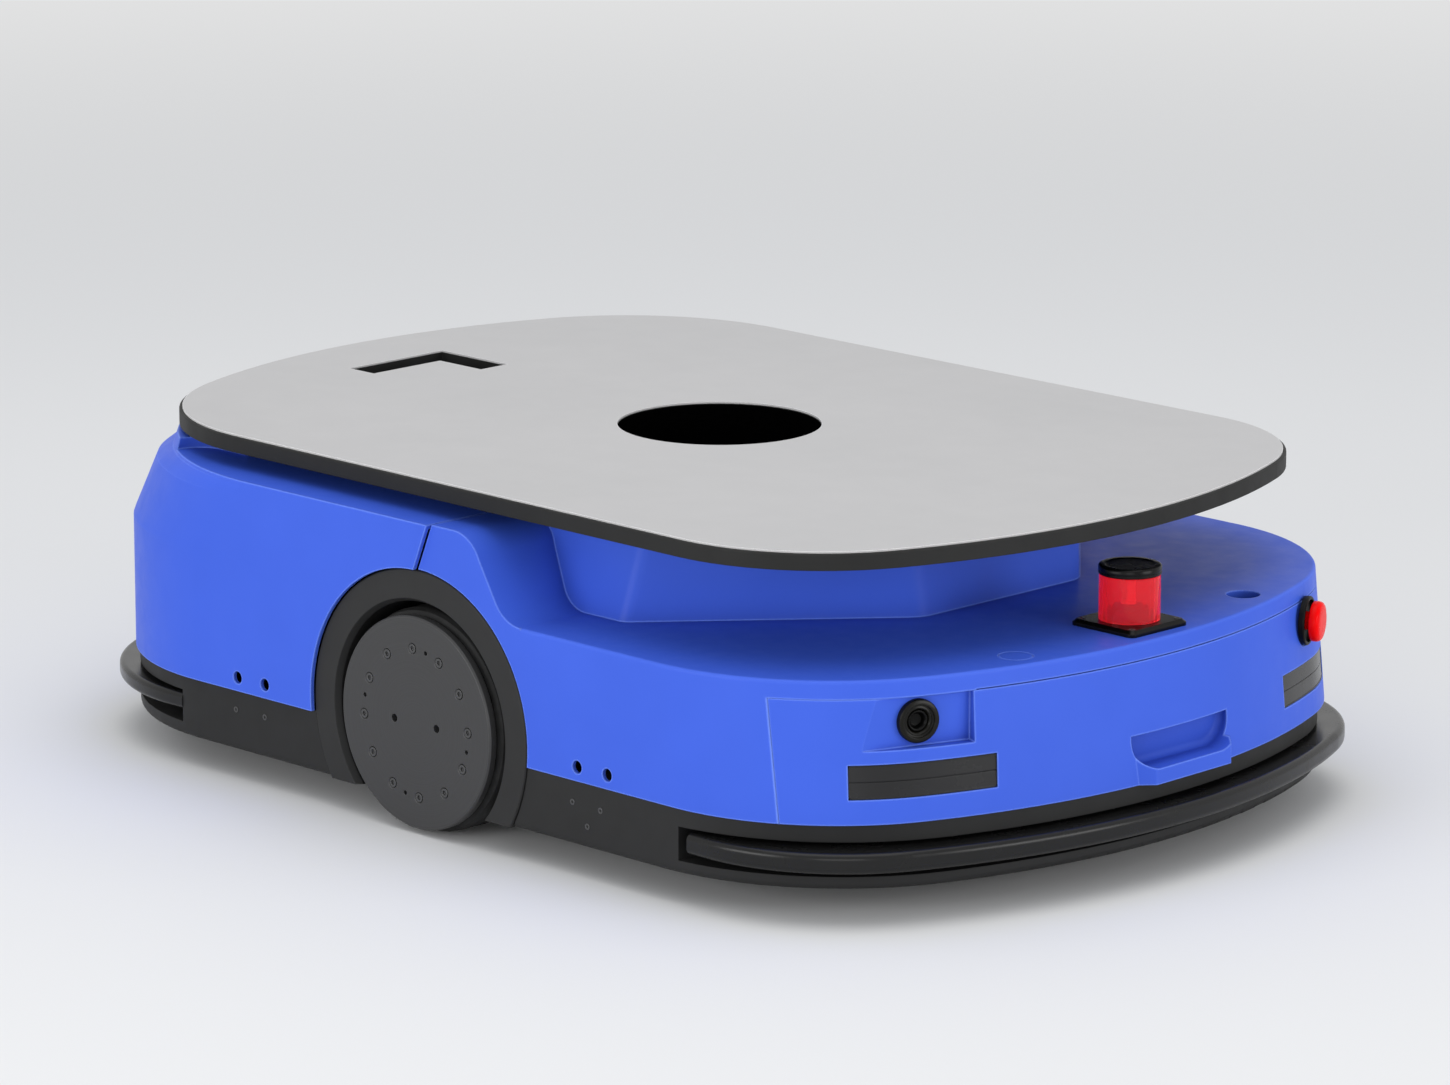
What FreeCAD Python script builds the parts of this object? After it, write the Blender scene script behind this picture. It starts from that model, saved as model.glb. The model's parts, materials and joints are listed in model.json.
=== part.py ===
import FreeCAD, Part
import math
import os

# Low-profile lifting mobile robot. Millimetres. Origin on the ground under the
# drive axle, +X forward (the nose with the beacon), +Y left, +Z up.
V = FreeCAD.Vector
OUT = "parts"
os.makedirs(OUT, exist_ok=True)

# ---- driving dimensions -------------------------------------------------
LENGTH = 982.0            # over the two bumpers
WIDTH = 650.0             # over the wheel covers
DECK_TOP = 270.0          # deck height when lowered
LIFT_TRAVEL = 60.0

HALF_L = LENGTH / 2.0
HALF_W = WIDTH / 2.0
NOSE_SHIFT = HALF_L - 491.0   # carries the nose fittings when LENGTH changes
SIDE_SHIFT = HALF_W - 325.0   # and out to their own side when WIDTH changes

# plan outlines: half width, end, end-arc radius, corner radius
REAR_PLAN = (HALF_W, HALF_L - 16.0, 560.0, 195.0)
NOSE_LOW = (HALF_W - 4.0, HALF_L - 17.0, 560.0, 168.0)
NOSE_TOP = (HALF_W - 4.0, HALF_L - 26.0, 550.0, 179.0)
SKIRT_PLAN = (HALF_W - 5.0, HALF_L - 19.0, 558.0, 188.0)
BUMPER_PLAN = (HALF_W - 3.0, HALF_L, 560.0, 146.0)
BUMPER_INNER = (HALF_W - 26.5, HALF_L - 32.0, 530.0, 126.0)
RAIL_PLAN = (HALF_W - 5.0, HALF_L, 565.0, 168.0)
DECK_REAR = (HALF_W - 25.0, HALF_L - 57.0, 515.0, 176.0)
DECK_NOSE = (HALF_W - 25.0, HALF_L - 54.0, 540.0, 148.0)

WALL = 3.5                # moulded cover wall
SKIRT_WALL = 4.0
SPLIT_Z = 74.0            # blue covers sit on the black skirts here
SKIRT_Z0 = 24.0
GROOVE_Z0 = 34.0          # bumper groove in the skirts
GROOVE_Z1 = 60.0
GROOVE_DEPTH = 26.0
GROOVE_END_X = HALF_L - 213.0
BUMPER_Z0 = 41.0
BUMPER_Z1 = 57.0
BUMPER_TRAVEL = 10.0
RAIL_Z0 = 45.0
RAIL_Z1 = 58.0

SHELF_Z = 180.0           # flat shelf on the nose
ROOF_Z = DECK_TOP - 27.0  # roof of the covers under the deck
TAIL_Z = DECK_TOP - 18.0  # raised tail behind the ledge
LEDGE_X = HALF_L - 173.0    # the side ledges end here
LEDGE_Y = HALF_W - 63.0     # the tail rises inside this half width
LEDGE_R = 26.0
TAIL_X = HALF_L - 229.0     # and behind this line
ROOF_HOLE_R = 98.0
TUBE_CLEAR = 5.0
SEAM_TOP_X = 15.0         # leaning seam between the two covers
SEAM_GAP = 1.5
FASCIA_Z1 = 166.0
FASCIA_GAP = 0.8
FASCIA_Y = HALF_W - 27.5
FASCIA_FIT = 0.1          # hair joint beside and above the button recess
FASCIA_SEAM_Y = -173.0    # the open joint starts at the recess

# drive wheels
WHEEL_R = 86.7
AXLE_Z = WHEEL_R
COVER_Y = HALF_W          # outer face of the wheel disc
TREAD_Y0 = COVER_Y - 67.0
TREAD_Y1 = COVER_Y - 10.0
RIM_R = 66.0
COVER_R = 83.0
COVER_T = 8.0
SCREW_COUNT = 12
SCREW_PCD_R = 58.0
SCREW_PHASE = 3.0
DOWEL_PHASE = 78.0
SCREW_R = 2.5
SCREW_HEAD_R = 4.5
SCREW_CLEAR = 0.2
PULLER_R = 3.2
PULLER_X = 23.5
DOWEL_R = 1.8
SHAFT_R = 15.0
RUN = 0.05                # radial running clearance of every journal
ARCH_IN_R = 93.0
ARCH_OUT_R = 118.5
ARCH_FACE_Y = HALF_W - 3.5
ARCH_CLEAR = 0.9

# drive motors
GEAR_Y1 = COVER_Y - 85.0
GEAR_Y0 = COVER_Y - 139.0
MOTOR_R = 43.0
MOTOR_Y0 = GEAR_Y0 - 112.0

# pan
PAN_Z0 = 30.0
PAN_Z1 = 38.0
NOTCH_X = 100.0
NOTCH_Y = HALF_W - 89.0

# casters
CASTER_X = HALF_L - 188.0
CASTER_Y = HALF_W - 126.0
CASTER_R = 37.5
CASTER_W = 28.0
CASTER_TRAIL = 22.0
WELL_R = 67.0
WELL_WALL = 3.0
WELL_Z = 104.0
WELL_TOP = 5.0
STEM_R = 8.0
CASTER_AXLE_R = 5.0

# screw jacks
JACK_X = 170.0
JACK_Y = 130.0
TOWER_HALF = 28.0
TOWER_Z0 = 84.0
TOWER_Z1 = ROOF_Z - 5.0
TUBE_R = 18.0
TUBE_IN_R = 14.0
TUBE_GRIP = 28.0          # guide tube left in its tower when raised
TUBE_Z0 = TOWER_Z1 - LIFT_TRAVEL - TUBE_GRIP
NUT_Z1 = TUBE_Z0 + 35.0
JACK_R = 12.0
JACK_TOP = DECK_TOP - 21.0
JOURNAL_R = 10.0
PULLEY_R = 22.0
PULLEY_Z0 = 60.0
PULLEY_Z1 = 78.0
BELT_T = 2.0
BELT_CLEAR = 0.4
LIFT_MOTOR_X = 225.0
BRACKET_IN = 44.0
BRACKET_OUT = 40.0
BRACKET_T = 5.0
LIFT_MOTOR_R = 32.0

# deck
DECK_Z0 = DECK_TOP - 14.0
FRAME_T = 6.0
SKIN_T = 1.6
SKIN_INSET = 2.6
DECK_HOLE_R = 80.0
SLOT_X = 131.0 - HALF_L
SLOT_Y = 36.0
SLOT_W = 30.0
SLOT_ARM_X = 79.0
SLOT_ARM_Y = 103.0

# nose fittings
BEACON_X = HALF_L - 69.0
BEACON_Y = 11.0           # the beacon stands a little left of the middle
BEACON_BASE = 63.0
BEACON_R = 23.2
PORT_X = HALF_L - 72.0
PORT_Y = 144.0
PORT_R = 13.0
PORT_DEEP = 12.0
PLUG_X = HALF_L - 64.0            # blanked port, filled flush in the cover colour
PLUG_Y = -119.0
LINER_Z0 = DECK_TOP - 42.0
LINER_T = 3.0
POWER_DEG = -20.0
ESTOP_DEG = 26.0
SIDE_HOLE_X0 = 173.0
SIDE_HOLE_X1 = 205.0
SIDE_HOLE_Z = 85.0
SIDE_HOLE_R = 5.0


# ---- helpers -------------------------------------------------------------
def save(name, shape):
    shape = shape.removeSplitter() if shape.ShapeType != "Compound" else shape
    if shape.ShapeType == "Compound" and len(shape.Solids) == 1:
        shape = shape.Solids[0]
    shape.exportStep(OUT + "/" + name + ".step")
    print(name, len(shape.Solids), "solid", round(shape.Volume / 1000.0, 1), "cm3", shape.isValid())


def box(x0, x1, y0, y1, z0, z1):
    return Part.makeBox(x1 - x0, y1 - y0, z1 - z0, V(x0, y0, z0))


def cyl(r, z0, z1, x=0.0, y=0.0):
    return Part.makeCylinder(r, z1 - z0, V(x, y, z0), V(0, 0, 1))


def cyl_y(r, y0, y1, x=0.0, z=AXLE_Z):
    return Part.makeCylinder(r, y1 - y0, V(x, y0, z), V(0, 1, 0))


def cyl_x(r, x0, x1, y=0.0, z=0.0):
    return Part.makeCylinder(r, x1 - x0, V(x0, y, z), V(1, 0, 0))


def mirror_y(shape):
    return shape.mirror(V(0, 0, 0), V(0, 1, 0))


def mirror_x(shape):
    return shape.mirror(V(0, 0, 0), V(1, 0, 0))


def grow(plan, d):
    return (plan[0] + d, plan[1] + d, plan[2] + d, plan[3] + d)


def tangents(plan):
    """Corner centre and the point where the end arc meets the corner arc."""
    hw, xf, rf, rc = plan
    yc = hw - rc
    cx = xf - rf
    xc = cx + math.sqrt((rf - rc) ** 2 - yc ** 2)
    a = math.asin(yc / (rf - rc))
    return xc, yc, cx, a


def plan_wire(plan, z):
    """Closed outline: straight sides, corner arcs and shallow end arcs."""
    hw, xf, rf, rc = plan
    xc, yc, cx, a = tangents(plan)
    m = (a + math.pi / 2.0) / 2.0

    def on_end(t, s):
        return V(s * (cx + rf * math.cos(t)), rf * math.sin(t), z)

    def on_corner(t, s, u):
        return V(s * (xc + rc * math.cos(t)), u * (yc + rc * math.sin(t)), z)

    p = [V(-xc, -hw, z), V(xc, -hw, z), on_end(-a, 1), on_end(a, 1),
         V(xc, hw, z), V(-xc, hw, z), on_end(a, -1), on_end(-a, -1)]
    edges = [Part.makeLine(p[0], p[1]),
             Part.Arc(p[1], on_corner(m, 1, -1), p[2]).toShape(),
             Part.Arc(p[2], V(xf, 0, z), p[3]).toShape(),
             Part.Arc(p[3], on_corner(m, 1, 1), p[4]).toShape(),
             Part.makeLine(p[4], p[5]),
             Part.Arc(p[5], on_corner(m, -1, 1), p[6]).toShape(),
             Part.Arc(p[6], V(-xf, 0, z), p[7]).toShape(),
             Part.Arc(p[7], on_corner(m, -1, -1), p[0]).toShape()]
    return Part.Wire(edges)


def prism(plan, z0, z1):
    return Part.Face(plan_wire(plan, z0)).extrude(V(0, 0, z1 - z0))


def loft(sections, ruled=True):
    return Part.makeLoft([plan_wire(p, z) for p, z in sections], True, ruled)


def leaned(plan, d):
    """The outline drawn in by d at the end and at the corner, sides kept."""
    hw, xf, rf, rc = plan

    def diag(q):
        xc, yc, cx, a = tangents(q)
        return (xc + yc) * math.sqrt(0.5) + q[3]

    goal = diag(plan) - d
    lo = rc
    hi = rc + 3.0 * d + 1.0
    for i in range(50):
        mid = (lo + hi) / 2.0
        if diag((hw, xf - d, rf - d, mid)) > goal:
            lo = mid
        else:
            hi = mid
    return (hw, xf - d, rf - d, mid)


def level_edges(shape, z, test=None):
    out = []
    for e in shape.Edges:
        b = e.BoundBox
        if abs(b.ZMin - z) < 0.01 and abs(b.ZMax - z) < 0.01:
            if test is None or test(e):
                out.append(e)
    return out


def turned(shape, deg):
    """Turned about the vertical to a corner of the nose, and carried with it."""
    s = shape.copy()
    s.rotate(V(0, 0, 0), V(0, 0, 1), deg)
    s.translate(V(NOSE_SHIFT, math.copysign(SIDE_SHIFT, deg), 0))
    return s


def poly_round(points, z, r):
    """Closed polygon with every corner rounded; points counter-clockwise."""
    n = len(points)
    radii = r if isinstance(r, (list, tuple)) else [r] * n
    edges = []
    ends = []
    for i in range(n):
        a = V(points[i - 1][0], points[i - 1][1], z)
        b = V(points[i][0], points[i][1], z)
        c = V(points[(i + 1) % n][0], points[(i + 1) % n][1], z)
        u = (a - b).normalize()
        w = (c - b).normalize()
        half = math.acos(max(-1.0, min(1.0, u.dot(w)))) / 2.0
        t = radii[i] / math.tan(half)
        p1 = b + u * t
        p2 = b + w * t
        k = (u + w).normalize()
        mid = b + k * (radii[i] / math.sin(half) - radii[i])
        ends.append((p1, mid, p2))
    for i in range(n):
        p1, mid, p2 = ends[i]
        q1 = ends[(i + 1) % n][0]
        edges.append(Part.Arc(p1, mid, p2).toShape())
        edges.append(Part.makeLine(p2, q1))
    return Part.Wire(edges)


def revolve_y(points, ccw=True):
    """Ring from an (r, y) outline, turned about the wheel axis."""
    pts = [V(r, y, AXLE_Z) for r, y in points]
    face = Part.Face(Part.makePolygon(pts + [pts[0]]))
    return face.revolve(V(0, 0, AXLE_Z), V(0, 1, 0), 360)


# ---- pan with caster wells ------------------------------------------------
def corners(dx, dy):
    return [(dx, dy), (dx, -dy), (-dx, dy), (-dx, -dy)]


pan = prism(grow(SKIRT_PLAN, -30.0), PAN_Z0, PAN_Z1)
for s in (1, -1):
    pan = pan.cut(box(-NOTCH_X, NOTCH_X, min(s * NOTCH_Y, s * 400), max(s * NOTCH_Y, s * 400), 0, 90))
for x, y in corners(CASTER_X, CASTER_Y):
    pan = pan.cut(cyl(WELL_R, 0, PAN_Z1 + 1, x, y))
    well = cyl(WELL_R + WELL_WALL, PAN_Z0, WELL_Z + WELL_TOP, x, y)
    well = well.makeFillet(4.0, level_edges(well, WELL_Z + WELL_TOP))
    well = well.cut(cyl(WELL_R, 0, WELL_Z, x, y))
    well = well.cut(cyl(STEM_R + RUN, 0, 200, x, y))
    pan = pan.fuse(well)
for x, y in corners(JACK_X, JACK_Y):
    boss = cyl(20, PAN_Z1 - 1, 50, x, y)
    pan = pan.fuse(boss).cut(cyl(JOURNAL_R + RUN, PAN_Z1, 60, x, y))
pan = pan.cut(cyl(26, 0, 60))
save("base_pan", pan)

# ---- skirts with the bumper groove -----------------------------------------
arch_hole = cyl_y(ARCH_OUT_R + ARCH_CLEAR, -400, 400)


def make_skirt(groove_z0, groove_z1):
    outer = prism(SKIRT_PLAN, SKIRT_Z0, SPLIT_Z)
    outer = outer.makeFillet(5.0, level_edges(outer, SKIRT_Z0))
    shell = outer.cut(prism(grow(SKIRT_PLAN, -SKIRT_WALL), 0, 100))
    ring = prism(grow(SKIRT_PLAN, -2.0), groove_z0 - SKIRT_WALL, groove_z1 + SKIRT_WALL)
    ring = ring.cut(prism(grow(SKIRT_PLAN, -GROOVE_DEPTH - SKIRT_WALL), 0, 100))
    ring = ring.common(box(GROOVE_END_X - SKIRT_WALL, 600, -400, 400, 0, 100))
    flange = prism(grow(SKIRT_PLAN, -2.0), PAN_Z0 - 4.0, PAN_Z0)
    flange = flange.cut(prism(grow(SKIRT_PLAN, -GROOVE_DEPTH - 10.0), 0, 100))
    ring = ring.fuse(flange)
    cavity = prism(grow(SKIRT_PLAN, 10.0), groove_z0, groove_z1)
    cavity = cavity.cut(prism(grow(SKIRT_PLAN, -GROOVE_DEPTH), 0, 100))
    cavity = cavity.common(box(GROOVE_END_X, 600, -400, 400, 0, 100))
    skirt = shell.fuse(ring).cut(cavity)
    skirt = skirt.common(box(0, 600, -400, 400, 0, 100))
    return skirt.cut(arch_hole)


GUIDE_Y = 100.0
GUIDE_R = 5.0
GUIDE_Z = (BUMPER_Z0 + BUMPER_Z1) / 2.0
skirt_front = make_skirt(GROOVE_Z0, GROOVE_Z1)
for s in (1, -1):
    pad = box(HALF_L - 79, HALF_L - 51, s * GUIDE_Y - 11, s * GUIDE_Y + 11, GUIDE_Z - 10, GUIDE_Z + 10)
    pad = pad.common(prism(grow(SKIRT_PLAN, -GROOVE_DEPTH - 1.0), 0, 100))
    skirt_front = skirt_front.fuse(pad).cut(cyl_x(GUIDE_R + RUN, HALF_L - 91, HALF_L - 11, s * GUIDE_Y, GUIDE_Z))
save("skirt_front", skirt_front)
skirt_rear = mirror_x(make_skirt(RAIL_Z0 - 10.0, RAIL_Z1 + 3.0))
save("skirt_rear", skirt_rear)

# ---- bumpers ----------------------------------------------------------------
strip = prism(BUMPER_PLAN, BUMPER_Z0, BUMPER_Z1)
strip = strip.makeFillet(5.0, level_edges(strip, BUMPER_Z1) + level_edges(strip, BUMPER_Z0))
strip = strip.cut(prism(BUMPER_INNER, 0, 100))
strip = strip.common(box(GROOVE_END_X + BUMPER_TRAVEL + 1.5, 600, -400, 400, 0, 100))
for s in (1, -1):
    strip = strip.fuse(cyl_x(GUIDE_R, HALF_L - 73, HALF_L - 36, s * GUIDE_Y, GUIDE_Z))
save("bumper_front", strip)

rail = prism(RAIL_PLAN, RAIL_Z0, RAIL_Z1)
rail = rail.makeFillet(4.0, level_edges(rail, RAIL_Z1) + level_edges(rail, RAIL_Z0))
rail = rail.cut(prism(grow(SKIRT_PLAN, -GROOVE_DEPTH), 0, 100))
rail = rail.common(box(GROOVE_END_X, 600, -400, 400, 0, 100))
save("bumper_rear", mirror_x(rail))

# ---- wheel arches ------------------------------------------------------------
ARCH_Y0 = ARCH_FACE_Y - 71.5
arch = revolve_y([(ARCH_IN_R, ARCH_Y0), (ARCH_IN_R + 4, ARCH_Y0), (ARCH_IN_R + 4, ARCH_FACE_Y - 6),
                  (ARCH_OUT_R, ARCH_FACE_Y - 6), (ARCH_OUT_R, ARCH_FACE_Y - 1),
                  (ARCH_OUT_R - 1, ARCH_FACE_Y), (ARCH_IN_R + 3, ARCH_FACE_Y),
                  (ARCH_IN_R, ARCH_FACE_Y - 5)])
arch = arch.cut(box(-200, 200, 200, 400, -100, SKIRT_Z0))
save("wheel_arch_left", arch)
save("wheel_arch_right", mirror_y(arch))


# ---- seam plane between the covers ---------------------------------------------
SEAM_FOOT_Z = ROOF_Z - 36.0
SEAM_SLOPE = SEAM_TOP_X / (ROOF_Z - SEAM_FOOT_Z)


def seam_side(gap, ahead):
    """Half space ahead of or behind the leaning seam, as a big wedge."""
    def x_at(z):
        return (z - SEAM_FOOT_Z) * SEAM_SLOPE + gap

    far = 700.0 if ahead else -700.0
    pts = [V(x_at(20), -400, 20), V(x_at(300), -400, 300), V(far, -400, 300), V(far, -400, 20)]
    return Part.Face(Part.makePolygon(pts + [pts[0]])).extrude(V(0, 800, 0))


# ---- rear cover -------------------------------------------------------------------
LEAN = [(SPLIT_Z, 0.0), (180.0, 0.0), (184.0, 1.5), (TAIL_Z - 22.0, 20.5),
        (TAIL_Z - 16.0, 28.0), (TAIL_Z - 12.0, 34.0), (TAIL_Z, 38.0)]


def rear_body(inset, z0, z1):
    levels = [(leaned(grow(REAR_PLAN, -inset), d) if d > 0 else grow(REAR_PLAN, -inset), z)
              for z, d in LEAN]
    solid = loft(levels)
    if z0 < SPLIT_Z:
        solid = solid.fuse(prism(grow(REAR_PLAN, -inset), z0, SPLIT_Z))
    return solid.common(box(-600, 600, -400, 400, z0, z1))


roof_holes = [cyl(ROOF_HOLE_R, 200, 300)]
for x, y in corners(JACK_X, JACK_Y):
    roof_holes.append(cyl(TUBE_R + TUBE_CLEAR, 200, 300, x, y))
rear_outer = rear_body(0.0, SPLIT_Z, TAIL_Z)
step = []
for s in (1, -1):
    y0 = min(s * LEDGE_Y, s * 420)
    y1 = max(s * LEDGE_Y, s * 420)
    step_box = box(-LEDGE_X, 600, y0, y1, ROOF_Z, 300)
    inner_edges = [e for e in step_box.Edges
                   if e.BoundBox.ZLength > 10 and abs(e.BoundBox.XMin + LEDGE_X) < 0.1
                   and abs(e.BoundBox.YMin - s * LEDGE_Y) < 0.1]
    step.append(step_box.makeFillet(LEDGE_R, inner_edges))
rear_outer = rear_outer.cut(step[0]).cut(step[1])
rear_outer = rear_outer.cut(box(-TAIL_X, 600, -300, 300, ROOF_Z, 300))
rear_inner = rear_body(WALL, SPLIT_Z - 10, TAIL_Z - WALL)
rear_inner = rear_inner.cut(box(-TAIL_X - WALL, 600, -400, 400, ROOF_Z - WALL, 300))
for s in (1, -1):
    y0 = min(s * (LEDGE_Y - WALL), s * 420)
    y1 = max(s * (LEDGE_Y - WALL), s * 420)
    rear_inner = rear_inner.cut(box(-LEDGE_X - WALL, 600, y0, y1, ROOF_Z - WALL, 300))
rear = rear_outer.cut(rear_inner)
for hole in roof_holes:
    rear = rear.cut(hole)
rear = rear.cut(box(SLOT_X - 9, SLOT_X + SLOT_ARM_X + 9, SLOT_Y - SLOT_ARM_Y - 9, SLOT_Y + 9, 200, 300))
rear = rear.cut(cyl_y(ARCH_OUT_R + ARCH_CLEAR, -400, 400))
rear = rear.common(seam_side(-SEAM_GAP / 2.0, False))
for x in (SIDE_HOLE_X0, SIDE_HOLE_X1):
    rear = rear.cut(cyl_y(SIDE_HOLE_R, -400, 400, -x, SIDE_HOLE_Z))
save("rear_cover", rear)

# ---- front cover: shelf, hump and wheel fenders --------------------------------------
HUMP_X = HALF_L - 192.0
HUMP_Y = HALF_W - 71.0
HUMP_RAKE = 16.0          # the sides lean in by this much
HUMP_BASE = [(-60, -HUMP_Y), (HUMP_X - 147, -HUMP_Y), (HUMP_X, -82), (HUMP_X, 92),
             (HUMP_X - 147, HUMP_Y), (-60, HUMP_Y)]
HUMP_TOP = [(-60, HUMP_RAKE - HUMP_Y), (HUMP_X - 138, HUMP_RAKE - HUMP_Y), (HUMP_X - 8.5, -87),
            (HUMP_X - 8.5, 97), (HUMP_X - 138, HUMP_Y - HUMP_RAKE), (-60, HUMP_Y - HUMP_RAKE)]
HUMP_R = [4, 14, 26, 26, 14, 4]


def hump(inset, z0, z1):
    def shrink(points):
        return Part.Face(poly_round(points, 0, HUMP_R)).makeOffset2D(-inset).OuterWire if inset else \
            poly_round(points, 0, HUMP_R)

    low = shrink(HUMP_BASE)
    top = shrink(HUMP_TOP)
    low.translate(V(0, 0, SHELF_Z - 4.0))
    top.translate(V(0, 0, ROOF_Z + 4.0))
    solid = Part.makeLoft([low, top], True, True)
    if z0 < SHELF_Z - 4.0:
        solid = solid.fuse(Part.Face(low).extrude(V(0, 0, z0 - SHELF_Z + 4.0)))
    return solid.common(box(-600, 600, -400, 400, z0, z1))


def fender(inset, y_out):
    """Barrel-topped block over the wheel, running in to the hump."""
    d = inset
    a = V(40, 0, ROOF_Z - d)
    b = V(59 - d * 0.7, 0, ROOF_Z - 7 - d * 0.7)
    c = V(68 - d, 0, ROOF_Z - 19)
    e = V(86 - d, 0, 194)
    f = V(95 - d * 0.7, 0, 185 - d * 0.7)
    g = V(112, 0, SHELF_Z - d)
    low = 100.0
    edges = [Part.makeLine(V(-30, 0, low), V(-30, 0, ROOF_Z - d)), Part.makeLine(V(-30, 0, ROOF_Z - d), a),
             Part.Arc(a, b, c).toShape(), Part.makeLine(c, e), Part.Arc(e, f, g).toShape(),
             Part.makeLine(g, V(112, 0, low)), Part.makeLine(V(112, 0, low), V(-30, 0, low))]
    face = Part.Face(Part.Wire(edges))
    face.translate(V(0, -y_out, 0))
    return face.extrude(V(0, 2.0 * y_out, 0))


nose = loft([(NOSE_LOW, SPLIT_Z), (NOSE_TOP, SHELF_Z)])
nose = nose.makeFillet(2.5, level_edges(nose, SHELF_Z))
nose = nose.common(box(-30, 600, -400, 400, 0, 300))
fender_out = fender(0.0, NOSE_LOW[0])
front_outer = nose.fuse(fender_out).fuse(hump(0.0, 150.0, ROOF_Z))
nose_in = loft([(grow(NOSE_LOW, -WALL), SPLIT_Z), (grow(NOSE_TOP, -WALL), SHELF_Z)])
nose_in = nose_in.fuse(prism(grow(NOSE_LOW, -WALL), SPLIT_Z - 10, SPLIT_Z))
nose_in = nose_in.common(box(-60, 600, -400, 400, 0, SHELF_Z - WALL))
front_inner = nose_in.fuse(fender(WALL, NOSE_LOW[0] - WALL)).fuse(hump(WALL, 120.0, ROOF_Z - WALL))
front = front_outer.cut(front_inner)
for hole in roof_holes:
    front = front.cut(hole)
front = front.cut(cyl_y(ARCH_OUT_R + ARCH_CLEAR, -400, 400))
front = front.common(seam_side(SEAM_GAP / 2.0, True))
for x in (SIDE_HOLE_X0, SIDE_HOLE_X1):
    front = front.cut(cyl_y(SIDE_HOLE_R, -400, 400, x, SIDE_HOLE_Z))
for x, y in ((PORT_X, PORT_Y), (PLUG_X, PLUG_Y)):
    wall = cyl(PORT_R + 3.0, SHELF_Z - PORT_DEEP, SHELF_Z - 1.0, x, y)
    front = front.fuse(wall).cut(cyl(PORT_R, 0, 300, x, y))
lower = front.common(box(300, 600, -FASCIA_Y, FASCIA_Y, 0, FASCIA_Z1))
front = front.cut(box(300, 600, -FASCIA_Y - FASCIA_FIT, FASCIA_Y + FASCIA_FIT, 0, FASCIA_Z1 + FASCIA_FIT))
front = front.cut(box(300, 600, FASCIA_SEAM_Y, FASCIA_Y + FASCIA_FIT, FASCIA_Z1, FASCIA_Z1 + FASCIA_GAP))
beacon_seat = cyl(8.0, 100, 200, BEACON_X, BEACON_Y)
front = front.cut(beacon_seat)

plug = cyl(PORT_R - 0.2, SHELF_Z - 6.0, SHELF_Z, PLUG_X, PLUG_Y)
plug = plug.makeFillet(0.6, level_edges(plug, SHELF_Z))
save("port_plug", plug)

# ---- fascia: windows, button recess, stop seat and hand pocket ----------------------------
POWER_N = 465.2
POWER_T0 = -101.0
POWER_T1 = -15.0
POWER_Z0 = 128.0
POWER_T = (POWER_T0 + POWER_T1) / 2.0
POWER_Z = 147.0
POWER_R = 16.5
ESTOP_N = 475.0           # flat seat cut into the corner
ESTOP_FACE = 479.5        # front of the collar
ESTOP_T = -3.0
ESTOP_Z = 150.5
ESTOP_R = 19.0
ESTOP_HEAD_R = 15.6
ESTOP_CUP = 3.0           # the head presses into the collar's cup
WINDOW_DEG = 27.5
WINDOW_T0 = -50.9
WINDOW_T1 = 64.9
WINDOW_Z0 = 92.5
WINDOW_Z1 = 118.0
POCKET_C = 17.0           # the hand pocket is left of the middle
POCKET_Y = 55.5
POCKET_Z0 = 86.0
POCKET_Z1 = 111.5
POCKET_X = HALF_L - 33.0
POCKET_ROUND = 21.0       # the mouth's lower corners


def local_box(deg, n0, n1, t0, t1, z0, z1):
    return turned(box(n0, n1, t0, t1, z0, z1), deg)


def local_cyl(deg, r, n0, n1, t, z):
    return turned(cyl_x(r, n0, n1, t, z), deg)


fascia = lower
clip = loft([(NOSE_LOW, SPLIT_Z), (NOSE_TOP, SHELF_Z)]).common(box(300, 600, -FASCIA_Y, FASCIA_Y, 0, FASCIA_Z1))
tub = local_box(POWER_DEG, POWER_N - WALL, 500, POWER_T0, POWER_T1 + WALL, POWER_Z0 - WALL, FASCIA_Z1)
fascia = fascia.fuse(tub.common(clip))
fascia = fascia.cut(local_box(POWER_DEG, POWER_N, 520, POWER_T0 - 6, POWER_T1, POWER_Z0, FASCIA_Z1 + 5))
fascia = fascia.cut(local_cyl(POWER_DEG, 11.0, POWER_N - 20, 520, POWER_T, POWER_Z))
pad = local_cyl(ESTOP_DEG, ESTOP_R + 5.0, ESTOP_N - WALL, 520, ESTOP_T, ESTOP_Z)
pad = pad.common(clip).common(box(0, 600, -400, 400, 0, FASCIA_Z1 - 0.0))
fascia = fascia.fuse(pad)
estop_cut = local_cyl(ESTOP_DEG, ESTOP_R + 1.0, ESTOP_N, 520, ESTOP_T, ESTOP_Z)
fascia = fascia.cut(estop_cut)
front = front.cut(estop_cut)
save("front_cover", front)
fascia = fascia.cut(local_cyl(ESTOP_DEG, 11.3, ESTOP_N - 20, 520, ESTOP_T, ESTOP_Z))
window_parts = {}
for s, side in ((1, "left"), (-1, "right")):
    t0 = WINDOW_T0 if s < 0 else -WINDOW_T1
    t1 = WINDOW_T1 if s < 0 else -WINDOW_T0
    deg = WINDOW_DEG * s
    fascia = fascia.cut(local_box(deg, 430, 520, t0, t1, WINDOW_Z0, WINDOW_Z1))
    pane = loft([(grow(NOSE_LOW, -0.6), SPLIT_Z), (grow(NOSE_TOP, -0.6), SHELF_Z)])
    pane = pane.cut(loft([(grow(NOSE_LOW, -3.1), SPLIT_Z), (grow(NOSE_TOP, -3.1), SHELF_Z)]))
    window_parts[side] = pane.common(local_box(deg, 430, 520, t0 + 0.4, t1 - 0.4,
                                               WINDOW_Z0 + 0.4, WINDOW_Z1 - 0.4))
grip = box(POCKET_X - WALL, HALF_L - 23, POCKET_C - POCKET_Y - WALL, POCKET_C + POCKET_Y + WALL,
           POCKET_Z0 - 9, POCKET_Z1 + WALL)
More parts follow.
